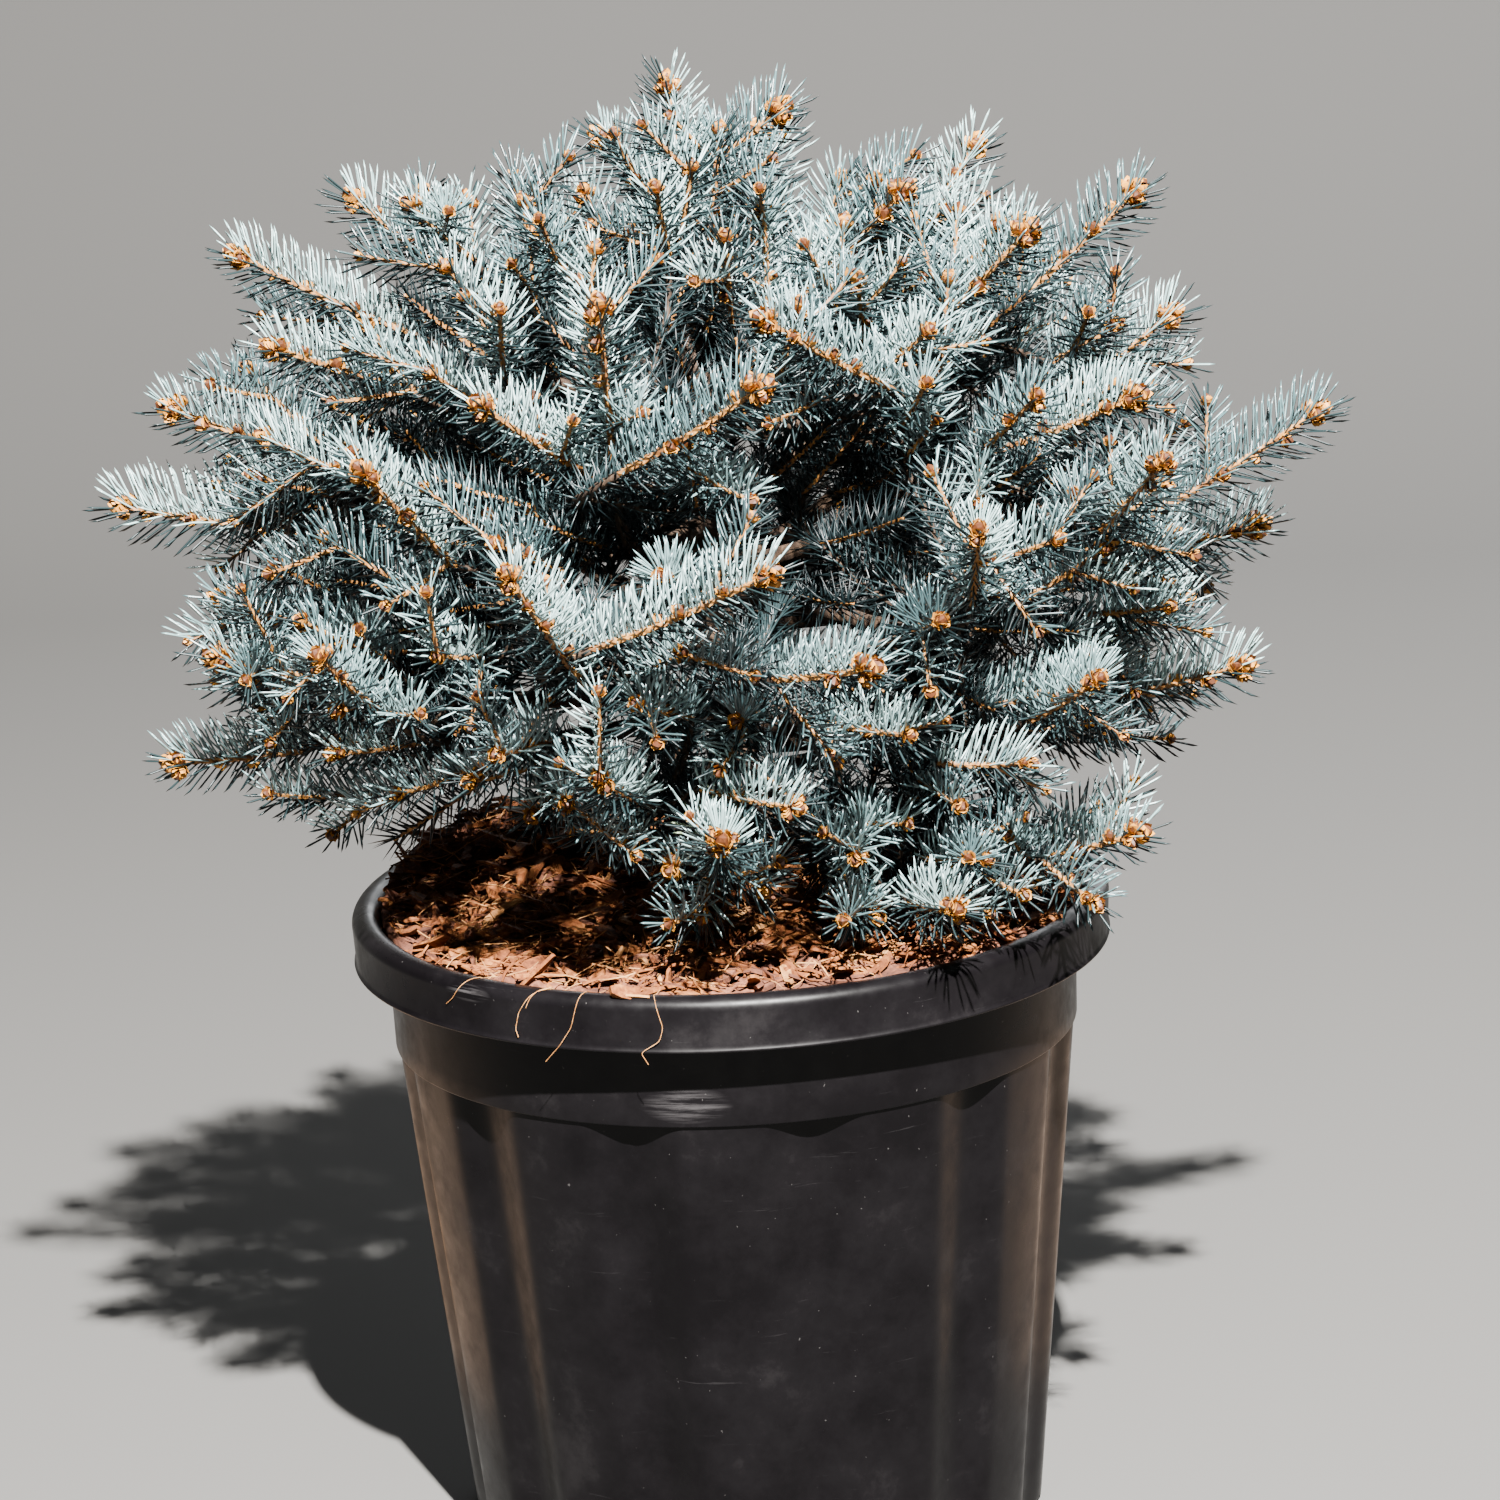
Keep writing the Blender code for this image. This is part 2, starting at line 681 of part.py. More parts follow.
    def surface_reach(self, direction):
        """Reach of the crown's surface, smoothed between the leading shoots."""
        nearness = np.array([way.dot(direction) for _, way, _ in self.leader_tips])
        weights = np.exp(REACH_SHARPNESS * (nearness - 1))
        reaches = [reach for _, _, reach in self.leader_tips]
        return float(weights.dot(reaches) / weights.sum()) - dip(direction)

    def takes_a_tip(self, way, tip):
        """Whether a side shoot may end at a tip: in no hollow, and above the crown's underside."""
        for azimuth, elevation, radius in HOLLOWS:
            if way.dot(heading(azimuth, elevation)) > cos(radians(radius)):
                return False
        azimuth = degrees(atan2(way[1], way[0]))
        return tip[2] > UNDERSIDE or LOW_FRONT[0] < azimuth < LOW_FRONT[1]

    def add_side_shoots(self):
        """Side shoots whose tips lie evenly over the crown, each in the mass with the nearest leader."""
        for index in range(TIP_COUNT):
            if index % 3 == 2:
                continue
            draw = Random(CROWN_SEED * 1000 + index)
            rise = 1 - 2 * (index + 0.5) / TIP_COUNT
            turn = index * GOLDEN_ANGLE + draw.uniform(-TIP_JITTER, TIP_JITTER)
            across = sqrt(1 - rise * rise)
            way = np.array((across * cos(turn), across * sin(turn), rise))
            nearness = [way.dot(leader_way) for _, leader_way, _ in self.leader_tips]
            nearest = int(np.argmax(nearness))
            if not cos(radians(CELL_RADIUS)) <= nearness[nearest] <= cos(radians(TIP_SPACING)):
                continue
            tip = self.centre + way * self.surface_reach(way) * draw.uniform(*TIP_REACH)
            if not self.takes_a_tip(way, tip):
                continue
            across_lean = [draw.uniform(-SHOOT_LEAN, SHOOT_LEAN) for _ in range(2)]
            direction = unit(way + np.array((*across_lean, SHOOT_LIFT)))
            self.add_shoot(self.leader_tips[nearest][0], tip, direction, draw.uniform(*SHOOT_LENGTH))


# Meshes of limbs and masses

def frames_along(branch):
    """Tangent and two cross directions at each point, carried along without twisting."""
    tangents = ways_along(branch.points)
    if branch.first_way is not None:
        tangents[0] = branch.first_way
    if branch.last_way is not None:
        tangents[-1] = branch.last_way
    side = unit(np.cross(tangents[0], ODD_WAY))
    frames = []
    for tangent in tangents:
        side = unit(side - tangent * side.dot(tangent))
        frames.append((tangent, side, np.cross(tangent, side)))
    return frames


def bough_object(name, bough):
    """One tapering limb, flat at both ends."""
    builder = bmesh.new()
    rings = []
    for point, radius, (_, side, over) in zip(bough.points, bough.radii, frames_along(bough)):
        ring = []
        for step in range(BOUGH_SIDES):
            angle = 2 * pi * step / BOUGH_SIDES
            ring.append(builder.verts.new(point + radius * (side * cos(angle) + over * sin(angle))))
        rings.append(ring)
    skin(builder, rings)
    made = add_object("bough_" + name, builder, "bark")
    made.data.shade_smooth()
    made.data.set_sharp_from_angle(angle=radians(BOUGH_SHARP_ANGLE))
    return made


def needle_fits(corners, point, branch, crown_segments):
    """Whether all of a needle stays nearer to its own shoot than to anything else."""
    starts, ends, thick, needled, owner = crown_segments
    samples = np.concatenate([corners + (point - corners) * share for share in NEEDLE_SAMPLES])
    if not above_pot(samples, NEEDLE_MARGIN):
        return False
    distance = segment_distances(samples, starts, ends)
    own = owner == id(branch)
    own_distance = distance[:, own].min(axis=1)
    nearest_allowed = np.where(needled[None, :], own_distance[:, None], thick[None, :]) + NEEDLE_MARGIN
    return bool(np.all(distance[:, ~own] > nearest_allowed[:, ~own]))


def branch_object(name, branch, crown_segments, collection):
    """A three-sided twig whose rings turn half a side each, with a needle on each face of its shoot."""
    builder = bmesh.new()
    frames = frames_along(branch)
    rings = []
    for index, (point, radius) in enumerate(zip(branch.points, branch.radii)):
        _, side, over = frames[index]
        ring = []
        for corner in range(3):
            angle = radians(120 * corner + RING_TURN * index)
            ring.append(builder.verts.new(point + radius * (side * cos(angle) + over * sin(angle))))
        rings.append(ring)
    builder.faces.new(rings[0][::-1])
    needle_faces = []
    for index, (low, high) in enumerate(zip(rings, rings[1:])):
        for i in range(3):
            j = (i + 1) % 3
            for corners in ((low[i], low[j], high[i]), (low[j], high[j], high[i])):
                face = builder.faces.new(corners)
                if branch.needles_from is not None and index >= branch.needles_from:
                    needle_faces.append((face, index))
    tangent = frames[-1][0]
    bud = builder.verts.new(branch.points[-1] + tangent * BUD_LENGTH)
    for i in range(3):
        builder.faces.new((rings[-1][i], rings[-1][(i + 1) % 3], bud))
    for face, index in needle_faces:
        root = np.array(face.calc_center_median())
        tangent = unit(branch.points[index + 1] - branch.points[index])
        out = root - branch.points[index]
        out = unit(out - tangent * out.dot(tangent))
        way = out * cos(radians(NEEDLE_LEAN)) + tangent * sin(radians(NEEDLE_LEAN))
        point = root + way * NEEDLE_LENGTH
        corners = np.array([vertex.co for vertex in face.verts])
        if needle_fits(corners, point, branch, crown_segments):
            poked = bmesh.ops.poke(builder, faces=[face])
            poked["verts"][0].co = point
    return add_object(name, builder, "needles", collection)


def mass_object(name, branches, crown_segments):
    """All the branches of one mass, joined by one union: MANIFOLD, because EXACT doubles some edges."""
    pieces = bpy.data.collections.new("pieces_" + name)
    bpy.context.scene.collection.children.link(pieces)
    stem = branch_object("needles_" + name, branches[0], crown_segments, None)
    for number, branch in enumerate(branches[1:]):
        branch_object(f"piece_{name}_{number}", branch, crown_segments, pieces)
    if len(branches) > 1:
        union = stem.modifiers.new("union", "BOOLEAN")
        union.operation = "UNION"
        union.operand_type = "COLLECTION"
        union.collection = pieces
        union.solver = "MANIFOLD"
        depsgraph = bpy.context.evaluated_depsgraph_get()
        joined = bpy.data.meshes.new_from_object(stem.evaluated_get(depsgraph))
        stem.modifiers.clear()
        stem.data = joined
        for piece in list(pieces.objects):
            bpy.data.objects.remove(piece, do_unlink=True)
    bpy.data.collections.remove(pieces)
    return stem


def all_segments(branches):
    """The segments of every branch in one set of arrays, with their owner."""
    columns = [[], [], [], [], []]
    for branch in branches:
        parts = branch.segments()
        owner = np.full(len(parts[0]), id(branch))
        for column, part in zip(columns, (*parts, owner)):
            column.append(part)
    return [np.concatenate(column) for column in columns]


def build():
    start_empty()
    add_pot()
    add_mulch()
    add_trunk()
    crown = Crown()
    segments = all_segments(crown.branches)
    for name, bough in crown.boughs.items():
        bough_object(name, bough)
    for name, branches in crown.masses.items():
        mass_object(name, branches, segments)


build()
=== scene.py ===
"""Looks of the potted globe blue spruce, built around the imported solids.

Metres, +Z up. The origin is the centre of the pot's flat underside, and the plant's front faces -Y.
Azimuths turn from +X towards +Y, so the front is at -90 degrees.
"""
import json
from math import acos, atan2, ceil, cos, degrees, exp, pi, radians, sin, sqrt
from random import Random

import bpy
import numpy as np
from mathutils import Matrix, Vector, noise

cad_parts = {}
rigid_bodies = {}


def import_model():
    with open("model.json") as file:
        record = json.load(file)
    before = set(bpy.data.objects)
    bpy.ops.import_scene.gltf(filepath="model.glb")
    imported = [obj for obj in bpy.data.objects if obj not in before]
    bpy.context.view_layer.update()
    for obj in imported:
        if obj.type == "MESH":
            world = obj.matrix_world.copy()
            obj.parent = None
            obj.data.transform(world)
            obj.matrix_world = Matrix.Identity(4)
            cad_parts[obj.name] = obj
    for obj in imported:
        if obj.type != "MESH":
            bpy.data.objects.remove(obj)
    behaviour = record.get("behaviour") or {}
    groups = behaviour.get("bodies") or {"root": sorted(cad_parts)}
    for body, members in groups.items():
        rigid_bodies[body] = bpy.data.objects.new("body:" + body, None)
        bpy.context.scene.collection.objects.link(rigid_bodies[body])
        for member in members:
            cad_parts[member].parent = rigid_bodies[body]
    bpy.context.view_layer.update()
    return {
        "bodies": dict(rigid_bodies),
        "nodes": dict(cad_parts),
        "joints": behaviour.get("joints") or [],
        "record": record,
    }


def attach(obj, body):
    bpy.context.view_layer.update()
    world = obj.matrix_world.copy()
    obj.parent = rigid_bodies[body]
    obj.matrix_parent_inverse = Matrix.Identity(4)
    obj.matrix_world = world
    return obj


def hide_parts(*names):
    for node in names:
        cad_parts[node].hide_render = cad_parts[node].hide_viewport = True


MM = 0.001
CLEARANCE = 0.3 * MM
TINY = 1e-12
SEED_STEP = 1000

# Pot
POT_HEIGHT = 0.345
LIP_RADIUS = 0.200
LIP_HEIGHT = 0.028
LIP_WIDTH = 0.015
LIP_ROUND = 0.0065
BAND_RADIUS = 0.182
BAND_HEIGHT = 0.045
BODY_TOP_RADIUS = 0.1795
BODY_FOOT_RADIUS = 0.153
DRAFT = 0.001
FOOT_BEVEL = 0.003
WALL = 0.0035
FLUTES = 12
FLUTE_AZIMUTH = -78
FLUTE_DEPTH = 0.0065
FLUTE_REACH = 9.0
POT_COLUMNS = 360
SEAM_AZIMUTH = -109
SEAM_HEIGHT = 0.3 * MM
SEAM_WIDTH = 0.9
SOFT_EDGE = 0.0009
LIP_BEAD = 0.0034
POT_SHARP_ANGLE = 38

# Rows of the pot's outline on its wall and on its band, and its rounded corners: where each starts and
# ends, in degrees from level to up, and its steps.
WALL_ROWS = 14
BAND_ROWS = 5
BAND_EDGE = (-85, 0, 3)
LIP_EDGE = (-85, 50, 5)
LIP_OUTSIDE = (0, 90, 7)
LIP_INSIDE = (90, 180, 7)

# The pot's blacks, each with the place on the noise where it stands, and what lies on them.
POT_BLACKS = (
    (0.40, (0.0011, 0.0009, 0.0011)),
    (0.58, (0.0021, 0.0018, 0.0021)),
    (0.74, (0.0058, 0.0052, 0.0055)),
)
SCRATCH_GREY = (0.040, 0.038, 0.039)
FLECK_GREY = (0.070, 0.066, 0.064)
PALE_PATCH_GREY = (0.085, 0.080, 0.082)

# Pale patches on the band and on the lip: azimuth, radius, height, half size along each axis and strength.
POT_PALE_PATCHES = (
    (-98.3, BAND_RADIUS, 0.284, (0.024, 0.024, 0.0100), 0.42),
    (-132, LIP_RADIUS, 0.339, (0.016, 0.016, 0.0045), 0.40),
)

# Mulch
MULCH_EDGE_DROP = 0.004
MULCH_RISE = 0.006
MULCH_SLACK = 0.8 * MM
MULCH_FLAT_RADIUS = 0.036
MULCH_REACH = LIP_RADIUS - LIP_WIDTH - MULCH_SLACK
BED_RINGS = 48
BED_COLUMNS = 150
BED_LUMP = 0.0050
BED_GRAIN = 0.0012
MULCH_STOPS = (0.33, 0.50, 0.66)
HEAP_HEIGHT = 0.021
HEAP_PLACE = (-0.127, 0.079)
HEAP_SIZE = 0.070
MULCH_SEED = 7

# Noise of the bed's lumps and of its grain: height of its slice, scale, roughness, lacunarity and octaves.
LUMP_NOISE = (0.2, 62, 0.8, 2.1, 4)
GRAIN_NOISE = (0.7, 260, 0.7, 2.2, 3)

# Torn strips of bark: places along a strip with the share of its width there, and corners of its section.
STRIP_STATIONS = ((0, 0.45), (0.3, 1.0), (0.72, 0.9), (1, 0.35))
SLAB = ((-1, -1), (1, -1), (1, 1), (-1, 1))
SPLINTER = ((-1, -0.6), (1, -0.6), (0, 1))

# How strips lie: spread of the roll, mean and spread of the rise in degrees, stagger and range of the width
# at a station, and curl. Their middles keep in from the bed's edge, and their ends may pass it.
STRIP_ROLL = 0.40
STRIP_RISE = (2, 17)
STRIP_STAGGER = 0.16
STRIP_RAGGED = (0.7, 1.1)
STRIP_CURL = 0.09
STRIP_INSET = 0.002
STRIP_OVERLAP = 0.004

# Strips: their tint, and count, length, width, thickness, how far one may lie above the bed, and section.
MULCH_STRIPS = (
    ("dark", (450, (0.010, 0.026), (0.003, 0.008), (0.0010, 0.0022), 0.002, SLAB)),
    ("rust", (620, (0.012, 0.038), (0.004, 0.011), (0.0010, 0.0024), 0.005, SLAB)),
    ("tan", (60, (0.010, 0.026), (0.002, 0.0060), (0.0008, 0.0016), 0.006, SLAB)),
    ("dark", (500, (0.008, 0.024), (0.0008, 0.0020), (0.0006, 0.0014), 0.004, SPLINTER)),
    ("rust", (1500, (0.008, 0.028), (0.0008, 0.0022), (0.0006, 0.0014), 0.0055, SPLINTER)),
    ("tan", (1000, (0.012, 0.042), (0.0004, 0.0011), (0.0004, 0.0008), 0.008, SPLINTER)),
)
MULCH_TINTS = {
    "dark": ((0.018, 0.007, 0.005), (0.062, 0.022, 0.012), (0.15, 0.058, 0.030)),
    "rust": ((0.020, 0.005, 0.002), (0.100, 0.029, 0.0075), (0.225, 0.086, 0.024)),
    "tan": ((0.09, 0.033, 0.009), (0.21, 0.092, 0.030), (0.36, 0.195, 0.080)),
}

# Fine strands over the lip, each through places: azimuth, and mm past the start of the rounded edge.
STRANDS = (
    ((-129, -20), (-131, -6), (-133, 5), (-135, 14), (-136.5, 18)),
    ((-113, -22), (-117, -8), (-120.5, 5), (-122.5, 15), (-123.2, 24), (-122.8, 28)),
    ((-111, -16), (-112.5, -4), (-113, 8), (-114, 20), (-116, 30), (-118.4, 39)),
    ((-101, -16), (-102, -4), (-101, 8), (-100.2, 18), (-100.8, 25), (-103.6, 31), (-102.6, 37)),
    ((-118, -8), (-120.4, 6), (-121.2, 12)),
)
STRAND_RADIUS = 0.19 * MM
STRAND_SIDES = 4
STRAND_STEPS = 30
STRAND_LIFT = 0.002

# Pieces that lie on the lip or near it: tint, azimuth, mm past the start of its edge, turn, and size in mm.
LIP_PIECES = (
    ("rust", -106, 0, 20, (15, 8, 4)),
    ("tan", -105, 2, -15, (19, 2.4, 1.2)),
    ("tan", -138, -66, 35, (18, 6, 1.6)),
)

# Trunk
TRUNK_FOOT = (0.004, 0.000)
TRUNK_TIP = (-0.012, 0.040, 0.650)
TRUNK_BEND = 0.008
TRUNK_RADIUS = 0.016
TRUNK_TIP_RADIUS = 0.0045
FLARE_RADIUS = 0.026
FLARE_HEIGHT = 0.035
FLARE_LOBES = 5
LOBE_SHARE = 0.12
LEAN_STEP = 0.02
TRUNK_SEGMENTS = 11
TRUNK_SIDES = 36
TRUNK_RINGS = 80

# Bark: dark, middle and pale colours with their places on the noise, and the scale of its flakes.
BARK_STOPS = (0.28, 0.50, 0.74)
TRUNK_BARK = ((0.010, 0.006, 0.004), (0.032, 0.019, 0.012), (0.075, 0.050, 0.034))
TRUNK_FLAKES = 150
BOUGH_BARK = ((0.007, 0.0035, 0.002), (0.020, 0.011, 0.006), (0.042, 0.025, 0.014))
BOUGH_FLAKES = 260

# Relief of the trunk's bark: plates drawn out up the trunk, with furrows between, thinner towards the tip.
BARK_DEPTH = 0.0022
BARK_SCALE = 130
BARK_THINNING = 0.75
PLATE_STRETCH = 0.4
PLATE_SHARE = 0.6
PLATE_NOISE = (0.9, 2.0, 4)
FURROW_SCALE = 0.6
FURROW_DEPTH = 1.2
FURROW_REACH = 0.35
BARK_SINK = 0.65

# Meshes of limbs and of twigs: sides, and the pitch of their rings.
LIMB_MESH = (8, 0.006)
TWIG_MESH = (5, 0.012)
BOUGH_BARK_DEPTH = 0.13
BOUGH_BARK_SCALE = 420
ROOT_DEPTH = 0.006
ROOT_SWELL = 1.35

# Boughs and twigs
BOUGH_RADIUS = 0.0068
HIGH_BOUGH_RADIUS = 0.0046
BOUGH_TIP_RADIUS = 0.0040
BOUGH_STEPS = 4
BOUGH_SHORTEST = 0.045
LOWEST_BOUGH = 0.13
HIGHEST_BOUGH = 0.96
STEM_LENGTH = 0.080
STEM_RADIUS = 0.0042
STEM_TIP_RADIUS = 0.0034
STEM_STEP = 0.022
TWIG_RADIUS = 0.0017
TWIG_STEP = 0.030
LIMB_MARGIN = 0.0012
LINE_SAMPLE = 0.004
LIMB_PULL = 0.38
LIMB_STEPS = 24
TOP_PULL = 0.010
TOP_STEPS = 8
LIMB_TRIES = 126
PLACES_A_TURN = 14
PLACE_STEP = 0.012
TURN_STEP = 9
FORK_ANGLE = 48
FORK_ANGLE_WEIGHT = 0.05
FORK_PLACES = 16
FORK_ROOM = 0.014
FORK_START = 0.006
FORK_END = 0.004
TWIG_PULL = 0.35
TWIG_ALONG_STEM = 0.3
POT_ROOM = 0.002

# Shoots
CORE_RADIUS = 0.0034
CORE_TIP_RADIUS = 0.0026
NEEDLE_PITCH = 0.0185
SHOOT_SAG = 0.04
SHORTEST_SHOOT_STEPS = 3

# Crown
CROWN_CENTRE = (-0.005, 0.0, 0.530)
CROWN_SEED = 41
TIP_COUNT = 250
TIP_SPACING = 7.5
TIP_REACH = (0.80, 0.92)
TIP_JITTER = 0.08
SHOOT_LENGTH = (0.048, 0.074)
SHOOT_LIFT = 0.35
SHOOT_LEAN = 0.5
SHOOT_TRIES = (1, 0.85, 0.7)
CELL_RADIUS = 27
REACH_SHARPNESS = 14
UNDERSIDE = 0.395
LOW_FRONT = (-118, -12)
DIP_WAY = (135, 50)
DIP_WIDTH = 28
DIP_DEPTH = 0.070
GOLDEN_ANGLE = pi * (3 - sqrt(5))

# Each mass of needles has one to three leading shoots. A leading shoot's tip lies at an azimuth and an
# elevation from the crown's centre, in degrees, and at a reach in mm. The shoot heads to a second azimuth,
# with a rise in degrees, and has a length in mm.
LEADERS = {
    "top": ((99, 79, 249, 180, 84, 95), (27, 74, 236, 0, 36, 90), (133, 72, 226, 160, 48, 85)),
    "upper_right": ((-24, 57, 232, -33, 42, 115),),
    "upper_back_right": ((24, 49, 264, 35, 45, 85),),
    "right_shoulder": ((2, 37, 298, 0, 41, 95), (7, 23, 281, 8, 34, 90)),
    "long_right": ((-27, 42, 265, -31, 42, 150),),
    "right_front": ((-24, 20, 265, -34, 22, 110), (-35, 14, 291, -60, 38, 80)),
    "far_right": ((-3, 11, 334, 0, 30, 120), (8, -2, 304, 20, 8, 70)),
    "low_right": ((-8, -13, 294, -15, 15, 80),),
    "low_right_front": ((-46, -6, 280, -62, 28, 80),),
    "front_right": ((-62, 12, 290, -88, 40, 85),),
    "front_crossing": ((-82, 36, 273, -139, 30, 105),),
    "front_upright": (
        (-102, 40, 266, -93, 68, 115),
        (-117, 28, 266, -136, 34, 100),
        (-130, 20, 272, -125, 42, 100),
    ),
    "left_shoulder": ((177, 48, 263, 180, 42, 90),),
    "upper_left": ((-175, 36, 293, -171, 29, 105), (-155, 30, 273, -148, 22, 95)),
    "far_left": ((-174, 19, 293, 180, 22, 85), (-176, 8, 309, 180, 12, 75)),
    "low_left": ((-161, -5, 271, -150, 20, 75), (-174, -18, 304, 180, -2, 75)),
    "low_left_front": ((-135, 0, 270, -115, 36, 85),),
    "front_forked": ((-82, 10, 287, -27, 24, 115), (-109, 11, 291, -122, 49, 100)),
    "front_high": ((-81, 28, 286, -33, 30, 105),),
    "front_low": ((-72, -1, 274, -45, 13, 75),),
    "bottom_left_front": ((-103, -13, 253, -107, 25, 75), (-89, -21, 256, -87, 25, 65)),
    "bottom_right": ((-32, -26, 288, -30, 18, 75),),
    "bottom_front": ((-59, -32, 274, -70, 12, 70),),
}
BACK_MASSES = 7
BACK_AZIMUTH = 30
BACK_SWEEP = 125
BACK_ELEVATION = -15
BACK_CLIMB = 12
BACK_REACH = 292
BACK_FLATTENING = 45
BACK_SHOOT = 85
BACK_RISE = 22
BACK_RISE_GAIN = 0.55

# Deep hollows between masses: azimuth, elevation and radius, in degrees.
HOLLOWS = ((-73, 7, 8), (-50, 2, 5))

# Finer growth, which only the looks have: shells of inner shoots, each with a count and a share of the
# crown's reach, small shoots low in front, in rows like those of the leading shoots, and fine shoots.
INNER_SHELLS = ((170, 0.72), (130, 0.54))
INNER_SPREAD = 0.08
INNER_LENGTH = (0.045, 0.062)
INNER_LIFT = 0.15
INNER_SEED = 43
LOW_SHOOTS = (
    (-91, -31, 208, -95, 8, 55),
    (-99, -38, 210, -112, 0, 55),
    (-87, -44, 226, -95, -22, 50),
    (-77, -37, 210, -70, 4, 50),
    (-66, -22, 240, -70, 10, 50),
    (-70, -29, 222, -80, 5, 50),
    (-50, -31, 252, -50, 10, 55),
    (-46, -34, 272, -55, -6, 50),
    (-41, -32, 300, -55, -18, 50),
    (-103, -27, 200, -120, 10, 50),
    (-113, -23, 214, -132, 10, 55),
    (-28, -34, 262, -20, -2, 50),
)
FINE_TRIES = 7
BACK_TRIES = 16
LOW_FRONT_TRIES = 30
LOW_FRONT_HEIGHT = UNDERSIDE + 0.05
FINE_PLACES = (0.10, 1.7)
FINE_LENGTH = (0.038, 0.062)
FINE_ANGLE = (38, 62)
FINE_GAP = 0.0150
FINE_CLEAR_FROM = 3
FINE_POT_ROOM = 0.015
FINE_REACH = 0.95
FINE_RISE = 0.3
FINE_SEED = 47
NEAR = 0.030

# Needles
NEEDLE_LENGTH = 0.0225
NEEDLE_RADIUS = 0.71 * MM
NEEDLE_SIDES = 3
NEEDLE_DENSITY = {"leader": 1720, "side": 1520, "fine": 1280}
OLD_NEEDLE_DENSITY = 1300
OLD_NEEDLE_SHARE = 0.85
OLD_NEEDLE_RADIUS = 0.85 * MM
NEEDLE_SEED = 53
NEEDLE_SIZES = (0.92, 1.06)
NEEDLE_LENGTH_NOISE = 0.05
NEEDLE_POT_ROOM = 0.001
UPPER_CROWDING = 0.36
PARTING_ANGLE = 36
PARTING_SHARE = (0.0, 0.2)
PLACE_RANGE = (0.2, 0.8)
TURN_NOISE = 0.12
FRAME_NUDGE = 0.0015
OUTWARD_SHARE = 0.35
ODD_WAY = (0.31, 0.17, 0.93)

# Lean of needles off the shoot in degrees: more on the upper side, less along the shoot and near its tip.
NEEDLE_LEAN = 71
UPPER_LEAN = 7
LEAN_LOSS = 8
TIP_LEAN = 30
TIP_LEAN_POWER = 1.2
LEAN_NOISE = 3

# Shares of a needle's length: how far it lifts, bends along the shoot and bends up.
NEEDLE_LIFT = 0.16
NEEDLE_BEND = (0.08, 0.24)
UPWARD_BEND = 0.09

# Shorter needles near the tip and the foot of a shoot.
TIP_STRETCH = 0.020
TIP_LOSS = 0.20
TIP_TRIM = 0.009
FOOT_STRETCH = 0.018
FOOT_SHARE = 0.72
FOOT_SINK = 0.7

# Places along a needle with the share of its width there; a needle ends in a point.
NEEDLE_FORMS = {"full": ((0, 0.75), (0.84, 0.95)), "thin": ((0, 1.0),)}
KIND_SIZES = {"leader": 1.03, "side": 0.98, "fine": 0.88, "inner": 0.90}
NEEDLE_ROUGHNESS = 0.38

# A piece of needles takes no more shoots once it holds this many needles.
PIECE_LIMIT = 21000
# Needle tints. The two darkest are painted shade: near-black copies for the lower needles of shoots and for
# the needles inside the crown; the darkest also stands for older needles, which are darker.
TINTS = {
    "frost": (0.158, 0.242, 0.238),
    "ice": (0.086, 0.146, 0.148),
    "blue": (0.039, 0.077, 0.082),
    "teal": (0.014, 0.032, 0.035),
    "deep": (0.006, 0.012, 0.013),
    "old": (0.002, 0.004, 0.0045),
    "fresh": (0.105, 0.140, 0.078),
}
GLOSS = {"frost": 1.0, "ice": 1.0, "blue": 1.0, "teal": 1.0, "deep": 0.25, "old": 0.12, "fresh": 1.0}

# Lower needles point down by more than a limit, with some noise, and take a darker tint, painted shade for
# a shoot's underside.
LOWER_NEEDLES = -0.15
LOWER_NOISE = 0.2
LOWER_SHADE_TINTS = {
    "frost": "deep", "ice": "deep", "blue": "deep", "fresh": "deep",
    "teal": "old", "deep": "old", "old": "old",
}
TINT_WEIGHTS = {
    "leader": (("frost", 0.50), ("ice", 0.33), ("blue", 0.12), ("fresh", 0.05)),
    "side": (("frost", 0.30), ("ice", 0.38), ("blue", 0.24), ("teal", 0.05), ("fresh", 0.03)),
    "fine": (("frost", 0.14), ("ice", 0.32), ("blue", 0.34), ("teal", 0.18), ("fresh", 0.02)),
    # Inner shoots take only the two painted-shade tints.
    "inner": (("deep", 0.4), ("old", 0.6)),
}
FRESH_BELOW = 0.45

# Shoot bark and buds
SHOOT_BARK_RADIUS = 0.0019
SHOOT_BARK_TIP_RADIUS = 0.0014
SHOOT_TANS = ((0.30, (0.06, 0.020, 0.004)), (0.48, (0.17, 0.070, 0.012)), (0.68, (0.28, 0.130, 0.026)))
SHOOT_BROWN = (0.085, 0.030, 0.006)
SHOOT_POINT = 0.001
PEG_PITCH = 0.0034
PEG_SIDES = 5
INNER_PEG_PITCH = 4 * PEG_PITCH
INNER_PEG_SIDES = 3
PEG_REACHES = (1.24, 0.88)
PEG_NOISE = 0.08
PEG_SEED = 106
BUD_LENGTH = 0.0100
BUD_SEED = 59
BUD_RINGS = {"leader": (2, 3, 3, 4), "side": (0, 0, 1, 2), "fine": (0, 0, 0)}
BUD_SHARE = 0.72
BUD_SPACING = {"leader": (0.014, 0.030), "side": (0.024, 0.045), "fine": (0.045, 0.090)}
TWIG_SIZES = {"leader": 1.0, "side": 0.80, "fine": 0.64, "inner": 0.7}
BUD_PROFILE = ((0.0, 0.24), (0.26, 0.42), (0.60, 0.40), (0.86, 0.20))
BUD_SIDES = (5, 4)
BUD_SIZES = (0.88, 1.1)
BUD_SINK = 0.15
BUD_CORE = (0.036, 0.009, 0.001)
BUD_SCALE = (0.32, 0.130, 0.013)

